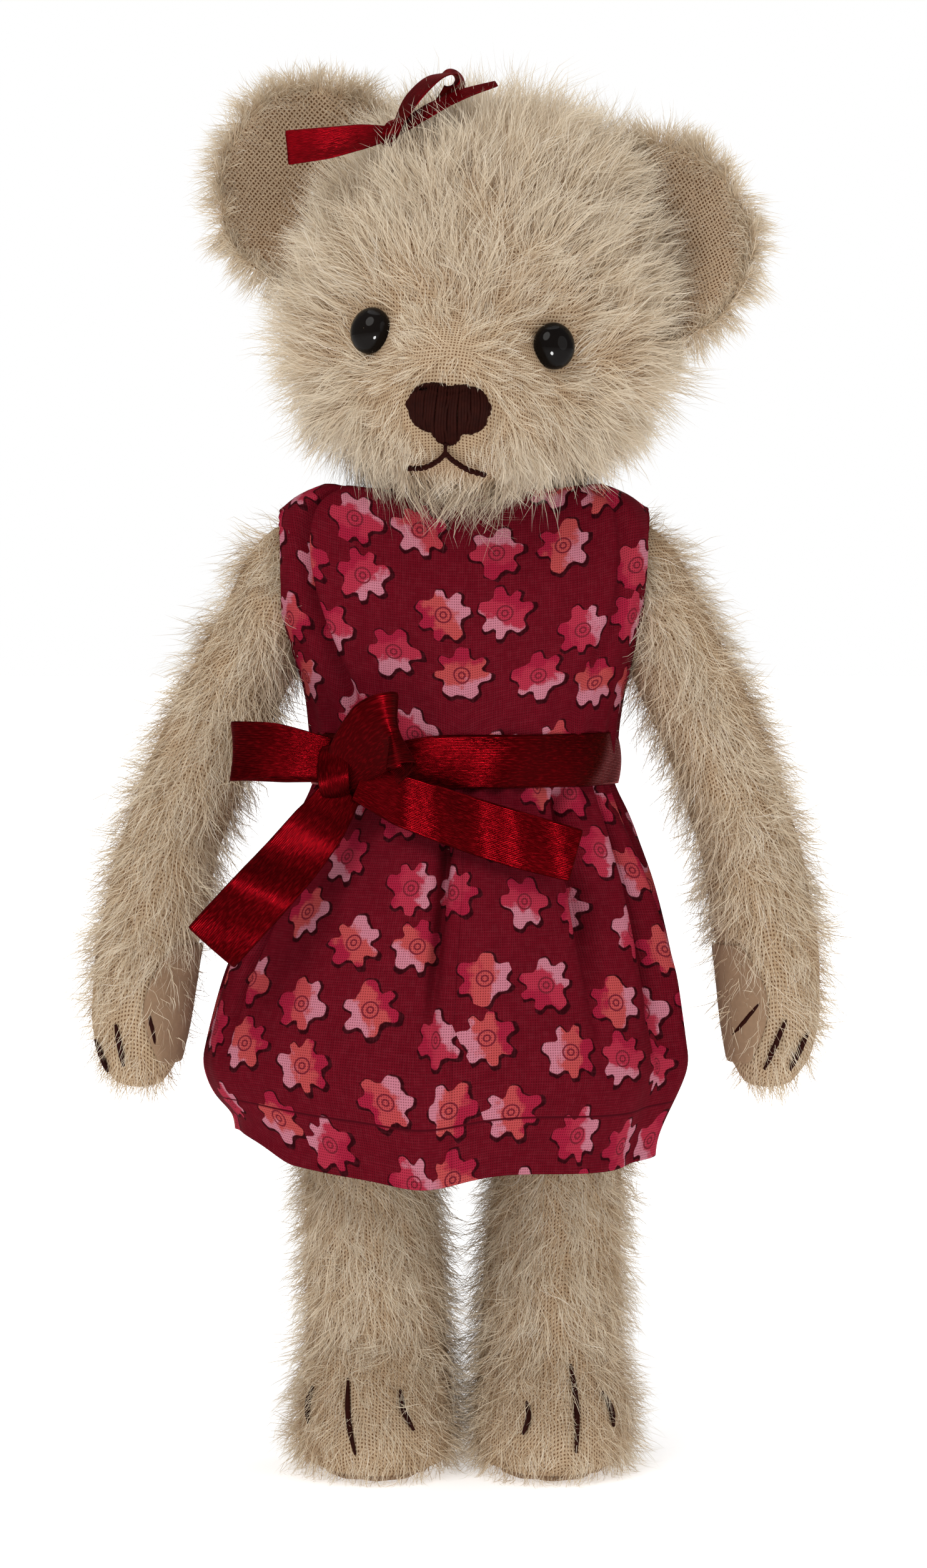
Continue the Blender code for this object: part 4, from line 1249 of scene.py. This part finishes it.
def make_leg(side):
    """One leg with its sole, its claws and its hair, which is short under the skirt."""
    body = f"leg_{side}"
    skin = limb_skin(f"leg_skin_{side}", f"{body}_shell", body, 120, 60, 0.7 * MM)
    refined(f"sole_pad_{side}", f"sole_suede_{side}", body, 0.84)
    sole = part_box(f"sole_pad_{side}")[0][2]
    for vertex in skin.data.vertices:
        vertex.co.z = max(vertex.co.z, sole + 0.5 * MM)
    surface = Skin(skin)
    low, centre = corners_of(f"{body}_shell")[0], middle(f"{body}_shell")
    claws = clear_of_threads(leg_claws(side, skin), 1.2 * MM)

    def comb(points, normals):
        forward = ramp(low[2] + 18 * MM - points[:, 2], 0, 8 * MM)[:, None]
        lean = np.array([0.0, 0.0, -1.0]) + forward * np.array([0.0, -0.4, 0.35]) + 0.35 * normals
        return lean + 0.3 * np.sin(points[:, 2:] * 380 + points[:, :1] * 260) * np.array([0.8, 0.4, 0.0])

    def keep(points, normals):
        above = ramp(points[:, 2], low[2] - 0.6 * MM, low[2])
        toe = 0.75 + 0.25 * ramp(points[:, 1], centre[1] - 12 * MM, centre[1] - 2 * MM)
        toe = np.where(points[:, 2] < low[2] + 16 * MM, toe, 1.0)
        hidden = 1.0 - 0.7 * ramp(points[:, 2], 52 * MM, 60 * MM)
        seam = 1.0 - 0.75 * bell(points[:, 0] - centre[0], 0.6 * MM)
        return above * toe * hidden * claws(points) * np.where(points[:, 1] < centre[1], seam, 1.0)

    def length(points):
        toe = ramp(centre[1] - 8 * MM - points[:, 1], 0, 10 * MM)
        return (6.0 - 2.0 * toe) * (1.0 - 0.65 * ramp(points[:, 2], 56 * MM, 62 * MM)) * MM

    def rise(points, normals):
        return 0.7 - 0.25 * ramp(-normals[:, 1], 0.3, 0.9)

    seed = 70 if side == "left" else 80
    locks(f"leg_locks_{side}", surface, body, 15000, seed, comb, length, keep, rise, 10, 0.30, 0.12)
    under = lambda p: 0.4 * length(p)
    underfur(f"leg_underfur_{side}", surface, body, 7000, seed + 1, comb, under, keep)


# Each claw stitch on a foot: x and height where it begins, then where it ends, in millimetres.
FOOT_CLAWS = {
    "left": [((9.6, 12.0), (9.0, 7.6)), ((16.0, 17.0), (16.6, 5.2)), ((20.6, 13.0), (22.2, 8.0))],
    "right": [((-22.4, 13.4), (-23.0, 8.2)), ((-17.2, 15.0), (-16.0, 5.0)), ((-9.6, 13.6), (-7.6, 8.0))],
}


def leg_claws(side, skin):
    """Three stitches down the front of the foot, the middle one longest."""
    tree = bvh(skin)
    front = middle(f"claw_thread_foot_{side}")[1] - 40 * MM
    paths = []
    for (x_top, top), (x_foot, foot) in FOOT_CLAWS[side]:
        starts = []
        for t in np.linspace(0, 1, 16):
            bow = 0.5 * math.sin(math.pi * t)
            x = x_top + (x_foot - x_top) * t + math.copysign(bow, x_foot)
            starts.append((x * MM, front, (top + (foot - top) * t) * MM))
        paths.append(stitch_path(tree, starts, (0, 1, 0), 0.45 * MM))
    name = f"claw_stitches_foot_{side}"
    obj = tube_object(name, paths, CLAW_THREAD, taper=True)
    stands_for(obj, f"claw_thread_foot_{side}", f"leg_{side}")
    return paths


def make_torso():
    """The torso's cloth, with short hair below the dress's neckline."""
    surface = Skin(limb_skin("torso_skin", "torso_shell", "torso", 70, 48))
    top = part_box("torso_shell")[1][2]

    def comb(points, normals):
        return np.array([0.0, 0.0, -1.0]) + 0.3 * normals

    def keep(points, _normals):
        return ramp(top - 46 * MM - points[:, 2], 0, 4 * MM)

    underfur("torso_underfur", surface, "torso", 9000, 90, comb, even(2.4 * MM), keep)


# --- dress ---------------------------------------------------------------------------------------
def ellipse_fit(tree, centre, z):
    """Half widths of a level section in x and y, from the rays that meet cloth."""
    rows, values = [], []
    for a in TAU * np.arange(48) / 48:
        out = Vector((math.cos(a), math.sin(a), 0))
        hit = tree.ray_cast(Vector((centre[0], centre[1], z)) + out * FAR, -out)
        if hit[0] is None or FAR - hit[3] < 8 * MM:
            continue
        rows.append([math.cos(a) ** 2, math.sin(a) ** 2])
        values.append(1.0 / (FAR - hit[3]) ** 2)
    fit = np.linalg.lstsq(np.array(rows), np.array(values), rcond=None)[0]
    return 1.0 / math.sqrt(max(fit[0], 1e-3)), 1.0 / math.sqrt(max(fit[1], 1e-3))


def sections(nodes, top, bottom, count):
    """Heights and smoothed half widths of a garment's level sections."""
    tree = tree_of(*nodes)
    heights = np.linspace(top, bottom, count)
    halves = np.array([ellipse_fit(tree, (0.0, NECK[1]), z) for z in heights])
    return heights, smoothed(halves, 3)


WAIST_BOX_FROM = 112.0 * MM  # the bodice is round up to this height and squarer above
# The armhole's radius at each distance from the middle line.
ARMHOLE_AT = np.array([17.0, 22.0, 25.0, 27.5, 29.0, 32.0]) * MM
ARMHOLE = np.array([7.3, 8.2, 8.9, 10.0, 12.6, 21.5]) * MM
COTTON_THICK = 0.5 * MM
RIBBON_THICK = 0.25 * MM
TAIL_RIPPLE = 0.5 * MM
HAIR_BOW_DROP = 1.8


def settle_rim(points, faces):
    """Even out the cut edge round each armhole by averaging every point with its two neighbours."""
    seen = {}
    for face in faces:
        for a, b in zip(face, face[1:] + face[:1]):
            key = (min(a, b), max(a, b))
            seen[key] = seen.get(key, 0) + 1
    beside = {}
    for (a, b), times in seen.items():
        if times == 1:
            beside.setdefault(a, []).append(b)
            beside.setdefault(b, []).append(a)
    rim = [i for i, near in beside.items() if len(near) == 2 and abs(points[i, 0]) > 15 * MM]
    top, foot = points[:, 2].max() - 0.3 * MM, points[:, 2].min() + 4 * MM
    rim = [i for i in rim if foot < points[i, 2] < top]
    for _ in range(12):
        moved = {i: points[i] / 2 + (points[beside[i][0]] + points[beside[i][1]]) / 4 for i in rim}
        for i, place in moved.items():
            points[i] = place


def make_bodice():
    """The bodice: an upright tube, squarer at the chest, with an armhole at each side."""
    low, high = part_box("dress_bodice")
    heights, halves = sections(["dress_bodice"], high[2] - 0.4 * MM, low[2] + 0.4 * MM, 46)
    columns = 180
    angle = TAU * np.arange(columns) / columns
    shoulder_z = joint_point("shoulder_left")[2]
    grid = np.zeros((len(heights), columns, 3))
    for i, (z, (hx, hy)) in enumerate(zip(heights, halves)):
        down = (heights[0] - z) / (heights[0] - heights[-1])
        gather = 0.35 * MM * ramp(down, 0.55, 1.0) * np.cos(23 * angle + 1.5 * np.sin(3 * angle))
        slack = 0.5 * MM * np.sin(2 * angle + 5.5 * down) * np.sin(5 * angle - 3 * down + 0.7)
        ease = gather + slack * math.sin(math.pi * min(1.0, down + 0.15)) + 0.7 * MM
        wider = 1.6 * MM * ramp(z, WAIST_BOX_FROM, shoulder_z)
        for side in (-1, 1):
            fold = turn_between(angle, -math.pi / 2 + side * (0.86 - 0.12 * down))
            deep = 3.0 * MM if side < 0 else 1.4 * MM
            ease = ease - deep * math.sin(math.pi * min(1.0, down + 0.08)) ** 0.5 * bell(fold, 0.08)
        power = 2.0 / (2.0 + 1.5 * ramp(z, WAIST_BOX_FROM, shoulder_z))
        grid[i, :, 0] = (hx + wider + ease) * np.sign(np.cos(angle)) * np.abs(np.cos(angle)) ** power
        grid[i, :, 1] = NECK[1] + (hy + ease) * np.sign(np.sin(angle)) * np.abs(np.sin(angle)) ** power
        wide = ramp(np.abs(grid[i, :, 0]), 12 * MM, 22 * MM)
        grid[i, :, 2] = z + (1.4 + 0.8 * wide) * MM * (1 - ramp(down, 0.0, 0.2))

    points = grid.reshape(-1, 3)
    out = np.hypot(points[:, 1] - NECK[1], points[:, 2] - shoulder_z)
    hole = np.interp(np.abs(points[:, 0]), ARMHOLE_AT, ARMHOLE) * (np.abs(points[:, 0]) > 17 * MM)
    inside = out < hole
    faces = grid_faces(len(heights), columns, True)
    kept = [f for f in faces if not all(inside[list(f)])]
    for index in {i for f in kept for i in f if inside[i]}:
        scale = hole[index] / max(out[index], 1e-6)
        points[index, 1] = NECK[1] + (points[index, 1] - NECK[1]) * scale
        points[index, 2] = shoulder_z + (points[index, 2] - shoulder_z) * scale
    settle_rim(points, kept)
    back_cloth, front_cloth = fitted_cloth(grid, columns // 4), fitted_cloth(grid, 3 * columns // 4)
    uv = []
    for face in kept:
        cloth = front_cloth if face[0] % columns >= columns // 2 else back_cloth
        uv += cloth_corners(cloth, face, columns)
    obj = mesh_object("bodice", points, kept, "cotton", {"Cloth": uv})
    add_modifier(obj, "SUBSURF", levels=1, render_levels=1)
    add_modifier(obj, "SOLIDIFY", thickness=COTTON_THICK, offset=0.0)
    stands_for(obj, "dress_bodice", "torso")


SKIRT_LEAN = -1.8 * MM


def skirt_folds(angle, down):
    """Folds at one height: tight gathers at the waist, soft creases below, an easy hem."""
    wander = angle + 0.25 * np.sin(2 * angle + 0.6) + 0.14 * np.sin(5 * angle + 2.0)
    wide = 0.9 * np.cos(5 * wander + 0.9) + 0.6 * np.cos(9 * wander + 2.4)
    wide = wide * ramp(down, 0.05, 0.6) * (1 - 0.35 * ramp(down, 0.6, 1.0))
    crease = -3.6 * np.maximum(0.0, np.cos(11 * wander + 0.7)) ** 12 * ramp(down, 0.0, 0.08)
    crease = crease * (1 - ramp(down, 0.34, 0.80))
    puff = 0.8 * np.cos(11 * wander + 0.7 + math.pi) * ramp(down, 0.0, 0.15) * (1 - ramp(down, 0.3, 0.8))
    gathers = 0.4 * np.cos(40 * angle + 2 * np.sin(3 * angle))
    gathers = gathers * ramp(down, 0.0, 0.03) * (1 - ramp(down, 0.06, 0.22))
    return (wide + crease + puff + gathers) * MM


def skirt_grid(columns):
    """Rings from the waist to the hem. Each starts behind the bear and runs round by its right."""
    low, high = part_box("dress_skirt_left")
    nodes = ["dress_skirt_left", "dress_skirt_right"]
    heights, halves = sections(nodes, high[2] - 0.3 * MM, low[2] + 0.3 * MM, 80)
    angle = math.pi / 2 + TAU * np.arange(columns) / columns
    grid = np.zeros((len(heights), columns, 3))
    for i, (z, (hx, hy)) in enumerate(zip(heights, halves)):
        down = (heights[0] - z) / (heights[0] - heights[-1])
        ease = skirt_folds(angle, down) + 1.2 * MM * math.sin(math.pi * min(1.0, down * 1.05))
        tuck_x = 5.4 * MM * ramp(down, 0.72, 1.02)
        tuck_y = 2.0 * MM * ramp(down, 0.75, 1.0)
        lean = SKIRT_LEAN * ramp(down, 0.1, 0.8)
        bulge = 1.6 * MM * ramp(-np.cos(angle), 0.2, 1.0) * ramp(down, 0.1, 0.6)
        grid[i, :, 0] = lean + (hx + ease + bulge - tuck_x) * np.cos(angle)
        grid[i, :, 1] = NECK[1] + (hy + ease - tuck_y) * np.sin(angle)
        front = np.exp(-((((angle - 1.5 * math.pi + 0.13 + math.pi) % TAU - math.pi) / 0.22) ** 2))
        rise = 0.5 * MM * np.cos(angle * 5 + 0.4) + 0.8 * MM * np.cos(angle) ** 2 - 1.6 * MM * front
        rise = rise + 4.0 * MM * ramp(-np.cos(angle), 0.74, 1.0) * ramp(down, 0.8, 1.0)
        grid[i, :, 2] = z + rise * ramp(down, 0.45, 1.0)
    return grid


def drape_weight(points):
    """How far cloth follows a lifted leg: not at the waist, at the middle line or behind."""
    waist = joint_point("skirt_left_lift")
    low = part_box("dress_skirt_left")[0]
    down = (waist[2] - points[:, 2]) / (waist[2] - low[2])
    side = ramp(np.abs(points[:, 0]), 0.0, 7 * MM)
    front = 1.0 - ramp(points[:, 1], NECK[1] - 2 * MM, NECK[1] + 16 * MM)
    return ramp(down, 0.0, 0.22) * side * front


def drape(obj, side):
    """Bake the cloth's place into its points and weigh, by drape_weight, the points on this half."""
    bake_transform(obj)
    points = vectors(obj.data)
    own = points[:, 0] * SIDES[side] >= -0.5 * MM
    weight = drape_weight(points) * own


def make_skirt():
    """Two halves that meet in front and behind."""
    columns = 400
    grid = skirt_grid(columns)
    cloth = measured_cloth(grid, True)
    cloth[..., 1] -= cloth[-1, 0, 1]
    half = columns // 2
    for side, start in (("right", 0), ("left", half)):
        index = [(start + j) % columns for j in range(half + 1)]
        name = f"skirt_{side}"
        maps = cloth[:, start : start + half + 1]
        obj = grid_object(name, grid[:, index], "hemmed_cotton", cloth=maps)
        add_modifier(obj, "SOLIDIFY", thickness=COTTON_THICK, offset=-1.0)
        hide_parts(f"dress_skirt_{side}")
        drape(obj, side)


# --- ribbons -------------------------------------------------------------------------------------
def ribbon(name, middle_line, across, widths, material, count, curl=0.0, ripple=0.0):
    """A flat ribbon along a path. across gives its width direction at each of the path's points, and
    widths are in millimetres, spaced evenly along it."""
    path = spline(middle_line, count)
    ways = unit(spline(across, count))
    tangent = unit(np.gradient(path, axis=0))
    ways = unit(ways - (ways * tangent).sum(1, keepdims=True) * tangent)
    normal = np.cross(tangent, ways)
    spread = np.linspace(-0.5, 0.5, 9)
    widths = [width * MM for width in widths]
    widths = np.interp(np.linspace(0, 1, count), np.linspace(0, 1, len(widths)), widths)
    grid = path[:, None] + ways[:, None] * (spread[None, :, None] * widths[:, None, None])
    grid = grid + normal[:, None] * (curl * (0.25 - spread**2)[None, :, None] * widths[:, None, None])
    length = np.concatenate([[0], np.cumsum(np.linalg.norm(np.diff(path, axis=0), axis=1))])
    swell = np.sin(length[:, None] * (TAU / (12.5 * MM)) + spread[None, :] * 1.6 + len(path))
    grid = grid + normal[:, None] * (ripple * swell * ramp(length, 0.0, 9 * MM)[:, None])[:, :, None]
    cloth = np.stack(np.broadcast_arrays(length[:, None], spread[None, :] * 7.9 * MM), axis=2)
    obj = grid_object(name, grid, material, cloth=cloth)
    add_modifier(obj, "SOLIDIFY", thickness=RIBBON_THICK, offset=0.0)
    add_modifier(obj, "SUBSURF", levels=1, render_levels=1)
    return obj


def merged(name, objects):
    """The evaluated meshes of several sheets as one piece."""
    for obj in objects:
        apply_modifiers(obj)
    first = objects[0]
    with bpy.context.temp_override(active_object=first, selected_editable_objects=objects):
        bpy.ops.object.join()
    first.name = name
    first.data.name = name
    return first


def make_sash_band():
    """The ribbon round the waist, drawn in towards the bow."""
    low, high = corners_of("sash_band")
    centre = (low + high) / 2
    columns, rows = 200, 13
    angle = TAU * np.arange(columns) / columns
    bow = middle("sash_bow")
    bow_angle = math.atan2(bow[1] - centre[1], -13.0 * MM - centre[0])
    grid = np.zeros((rows, columns, 3))
    for i, t in enumerate(np.linspace(-1, 1, rows)):
        near = turn_between(angle, bow_angle)
        pinch = 1 - 0.35 * bell(near, 0.22)
        crease = 0.30 * MM * np.cos(6 * math.pi * (t + 0.1 * np.sin(3 * angle))) * bell(near, 0.5)
        sag = 0.35 * MM * np.sin(9 * angle + 1.2 * t + 0.9) + crease - 0.5 * MM * t**2
        hx, hy = (high[0] - low[0]) / 2, (high[1] - low[1]) / 2
        grid[i, :, 0] = centre[0] + (hx + sag) * np.cos(angle)
        grid[i, :, 1] = centre[1] + (hy + sag) * np.sin(angle)
        grid[i, :, 2] = centre[2] - t * (high[2] - low[2]) / 2 * pinch
    around = np.arange(columns + 1) / columns * TAU * 22 * MM
    over = np.linspace(-3.95, 3.95, rows)[:, None] * MM
    cloth = np.stack(np.broadcast_arrays(around[None, :], over), axis=2)
    obj = grid_object("sash_round_waist", grid, "sash", closed=True, cloth=cloth)
    add_modifier(obj, "SUBSURF", levels=1, render_levels=1)
    add_modifier(obj, "SOLIDIFY", thickness=RIBBON_THICK, offset=0.0)
    stands_for(obj, "sash_band", "torso")


def sash_path(*places):
    """Points by millimetres across the bear, out from the sash band and up from its middle."""
    front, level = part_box("sash_band")[0][1], middle("sash_band")[2]
    return [np.array([x * MM, front - out * MM, level + up * MM]) for x, out, up in places]


def make_sash_bow():
    """Two folded loops and the knot between them, tied to the bear's right of the middle."""
    outer = ribbon(
        "bow_outer",
        sash_path(
            (-15, 0.8, 0), (-21, 2.6, 0.8), (-28, 2.6, 1.8), (-33.6, 0.2, 1.6), (-34.4, -1.4, 1.4),
            (-32.6, -2.6, 1.2), (-26, -1.2, 0.6), (-20, 0.0, 0.0), (-15, 0.2, -0.2),
        ),
        [(0.4, 0, 4.0), (0, 0, 6.0), (0, 0, 1.0), (0.06, 0, 1.0)] + [(0, 0, 1.0)] * 5,
        [5.2, 6.4, 8.2, 9.0, 8.8, 8.4, 7.6, 6.0, 4.6],
        "sash", count=90, curl=0.16,
    )
    inner = ribbon(
        "bow_inner",
        sash_path(
            (-18.6, 1.4, -3.0), (-15.8, 4.2, 0.8), (-12.6, 7.0, 4.0), (-10.6, 8.2, 4.8),
            (-9.4, 6.6, 3.6), (-11.2, 3.4, 0.6), (-15.2, 1.8, -3.2), (-17.8, 0.8, -4.4),
        ),
        [
            (-0.45, -0.30, 0.80), (-0.40, -0.35, 0.88), (-0.42, -0.2, 0.88), (-0.45, 0.0, 0.90),
            (-0.40, 0.1, 0.92), (-0.4, 0.2, 0.9), (-0.5, 0.0, 0.85), (-0.5, 0.0, 0.85),
        ],
        [5.0, 9.0, 11.4, 11.8, 10.4, 8.4, 6.0, 5.0],
        "sash", count=90, curl=0.10,
    )
    knot = ribbon(
        "bow_knot",
        sash_path(
            (-18.4, 0.0, 3.4), (-18.8, 2.6, 2.2), (-19.2, 3.6, -0.8), (-19.0, 3.4, -3.8), (-18.2, 1.0, -6.0)
        ),
        [(1.0, 0.1, 0.2), (1.0, 0.1, 0.3), (1.0, 0.0, 0.35), (1.0, 0.0, 0.3), (1.0, 0.1, 0.3)],
        [3.4, 4.4, 4.8, 4.6, 3.6],
        "sash", count=50, curl=0.35,
    )
    stands_for(merged("sash_bow_loops", [outer, inner, knot]), "sash_bow", "torso")


def make_sash_tails():
    """The two loose ends of the sash, which lie on the skirt."""
    right = ribbon(
        "sash_end_right",
        sash_path(
            (-17.6, 2.2, -4.0), (-21.5, 3.6, -9.5), (-26.5, 5.4, -15.5), (-32.0, 6.6, -21.5),
            (-37.2, 4.6, -27.2),
        ),
        [(0.86, 0.2, -0.4), (0.82, 0.0, -0.56), (0.72, -0.1, -0.68), (0.66, 0.0, -0.76), (0.62, 0.1, -0.78)],
        [6.0, 8.2, 9.0, 9.2, 9.2],
        "sash", count=80, curl=0.05, ripple=TAIL_RIPPLE,
    )
    left = ribbon(
        "sash_end_left",
        sash_path(
            (-15.6, 2.6, -3.0), (-9.0, 3.8, -5.6), (-1.0, 5.2, -8.4), (8.0, 6.4, -11.2), (16.6, 6.6, -13.6)
        ),
        [(0.30, 0.0, 0.95), (0.34, 0.0, 0.94), (0.32, 0.0, 0.94), (0.28, 0.05, 0.95), (0.16, 0.1, 0.98)],
        [5.4, 7.6, 8.2, 8.4, 8.0],
        "sash", count=80, curl=-0.08, ripple=TAIL_RIPPLE,
    )
    for side, obj in (("right", right), ("left", left)):
        apply_modifiers(obj)
        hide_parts(f"sash_tail_{side}")
        drape(obj, side)


def hair_ribbon(name, places, ways, widths, count, curl):
    """A ribbon laid out in the head's own axes, in millimetres."""
    line = [from_head(np.array(place) - (0.0, 0.0, HAIR_BOW_DROP)) for place in places]
    across = [np.array(way) @ HEAD_AXES for way in ways]
    return ribbon(name, line, across, widths, "hair_satin", count, curl)


def make_hair_bow():
    """A small red bow tied in the hair beside the ear on the bear's right."""
    wide = hair_ribbon(
        "hair_end",
        [(-14.4, -14.6, 27.6), (-18.2, -16.4, 26.6), (-23.2, -17.4, 25.2), (-29.2, -17.4, 24.0)],
        [(0.15, 0.3, 1), (0.05, 0.3, 1), (-0.1, 0.2, 1), (-0.25, 0.1, 1)],
        [2.2, 4.0, 5.0, 5.3], 40, 0.2,
    )
    loop = hair_ribbon(
        "hair_loop",
        [
            (-13.4, -14.0, 28.6), (-11.4, -15.4, 32.6), (-8.4, -14.6, 36.2), (-5.8, -13.0, 37.0),
            (-5.8, -11.8, 34.8), (-9.6, -12.4, 31.6), (-13.2, -13.2, 28.6),
        ],
        [
            (-0.6, 0.7, 0.4), (-0.5, 0.75, 0.35), (-0.4, 0.85, 0.2), (0.0, 1.0, 0.0),
            (0.35, 0.85, -0.35), (-0.2, 0.9, 0.2), (-0.5, 0.75, 0.4),
        ],
        [2.4, 4.2, 5.0, 5.0, 5.0, 4.2, 2.4], 70, 0.08,
    )
    thin = hair_ribbon(
        "hair_tail",
        [(-13.2, -14.2, 28.2), (-8.6, -16.2, 31.2), (-4.0, -15.6, 34.0), (1.0, -14.2, 36.2)],
        [(-0.4, 0.5, 0.75), (-0.4, 0.65, 0.65), (-0.3, 0.7, 0.6), (-0.3, 0.7, 0.6)],
        [2.2, 3.0, 2.6, 1.4], 40, 0.1,
    )
    knot = hair_ribbon(
        "hair_knot",
        [(-12.4, -12.6, 30.2), (-13.2, -15.2, 29.4), (-14.0, -15.8, 27.6), (-14.4, -14.4, 25.8)],
        [(1, 0, 0.3), (1, 0, 0.4), (1, 0, 0.4), (1, 0, 0.3)],
        [2.0, 2.6, 2.6, 2.0], 30, 0.4,
    )
    stands_for(merged("hair_bow", [wide, loop, thin, knot]), "hair_ribbon", "head")


# --- inner pieces that stay as CAD nodes ---------------------------------------------------------
def finish_inner_nodes():
    """Give the wadding, discs, washers and pins their materials."""
    finishes = {"stuffing": "wadding", "disc": "hardboard", "washer": "steel", "split_pin": "steel"}
    for name, obj in NODES.items():
        for ending, finish in finishes.items():
            if name.endswith(ending):
                for slot in obj.material_slots:
                    slot.material = MATERIALS[finish]


# --- stage, light and camera ---------------------------------------------------------------------
FLOOR_HALF = 6.0


def make_stage():
    """A plain pale floor that glows brighter with distance, so it meets the white sky without an edge."""
    g = Graph("floor")
    tone = g.mix(g.noise(3.0, detail=2.0), (0.87, 0.87, 0.87), (0.89, 0.89, 0.89))
    x, y, _ = g.split(g.node("ShaderNodeTexCoord").outputs["Object"])
    seen = Num(g, g.node("ShaderNodeLightPath").outputs["Is Camera Ray"])
    glow = g.smooth(g.math("SQRT", x * x + y * y), 0.10, 0.70) * seen * 0.7 + 0.5
    g.surface(tone, 0.9, Emission_Color=(1.0, 1.0, 1.0), Emission_Strength=glow)
    square = ((-1, -1), (1, -1), (1, 1), (-1, 1))
    corners = [(x * FLOOR_HALF, y * FLOOR_HALF, 0.0) for x, y in square]
    mesh = bpy.data.meshes.new("floor")
    mesh.from_pydata(corners, [], [(0, 1, 2, 3)])
    mesh.materials.append(g.material)
    in_scene("floor", mesh)


def aimed(obj, place, target):
    obj.location = place
    obj.rotation_euler = (Vector(target) - Vector(place)).to_track_quat("-Z", "Y").to_euler()
    return obj


def area_light(name, place, target, size, power, colour=(1.0, 1.0, 1.0)):
    light = bpy.data.lights.new(name, "AREA")
    light.shape = "DISK"
    light.size = size
    light.energy = power
    light.color = colour
    return aimed(in_scene(name, light), place, target)


def make_lights():
    aim = (0.0, 0.0, 0.11)
    area_light("key", (-0.40, -0.70, 0.80), aim, 0.6, 4.6, (1.0, 0.98, 0.95))
    area_light("fill", (0.75, -0.65, 0.40), aim, 0.8, 1.8, (1.0, 0.985, 0.97))
    area_light("top", (0.0, 0.05, 1.0), aim, 0.8, 3.2)
    area_light("rim", (0.5, 0.55, 0.6), aim, 0.5, 0.9)
    catch = area_light("catch", (0.01, -0.33, 0.045), (0.0, -0.02, 0.172), 0.075, 1.4)
    catch.visible_diffuse = False
    catch.visible_camera = False
    world = bpy.data.worlds.new("studio")
    world.use_nodes = True
    tree = world.node_tree
    tree.nodes["Background"].inputs["Color"].default_value = (1.0, 1.0, 1.0, 1.0)
    strength = tree.nodes.new("ShaderNodeMapRange")
    strength.inputs["To Min"].default_value = 0.30
    tree.links.new(tree.nodes.new("ShaderNodeLightPath").outputs["Is Camera Ray"], strength.inputs["Value"])
    tree.links.new(strength.outputs[0], tree.nodes["Background"].inputs["Strength"])
    bpy.context.scene.world = world


CAMERA_AWAY = 0.72
CAMERA_HEIGHT = 0.135
AIM_HEIGHT = 0.1042
FRAME_HEIGHT = 0.2395
SENSOR_HEIGHT = 24.0


def make_camera():
    camera = bpy.data.cameras.new("camera")
    camera.sensor_fit = "VERTICAL"
    camera.sensor_height = SENSOR_HEIGHT
    camera.clip_start = 0.01
    aim = Vector((0.0, NECK[1], AIM_HEIGHT))
    spot = Vector((0.0, NECK[1] - CAMERA_AWAY, CAMERA_HEIGHT))
    camera.lens = SENSOR_HEIGHT * (aim - spot).length / FRAME_HEIGHT
    bpy.context.scene.camera = aimed(in_scene("camera", camera), spot, aim)


# --- assembly ------------------------------------------------------------------------------------
def make_bear():
    skin = head_skin()
    face = Face(skin)
    head_fur(skin, face)
    for side in SIDES:
        make_ear(side)
        make_eye(side, face)
        make_arm(side)
        make_leg(side)
    make_nose(face)
    make_mouth(face)
    make_torso()
    make_bodice()
    make_skirt()
    make_sash_band()
    make_sash_bow()
    make_sash_tails()
    make_hair_bow()
    finish_inner_nodes()


bpy.context.scene.view_settings.view_transform = "Standard"
make_bear()
make_stage()
make_lights()
make_camera()
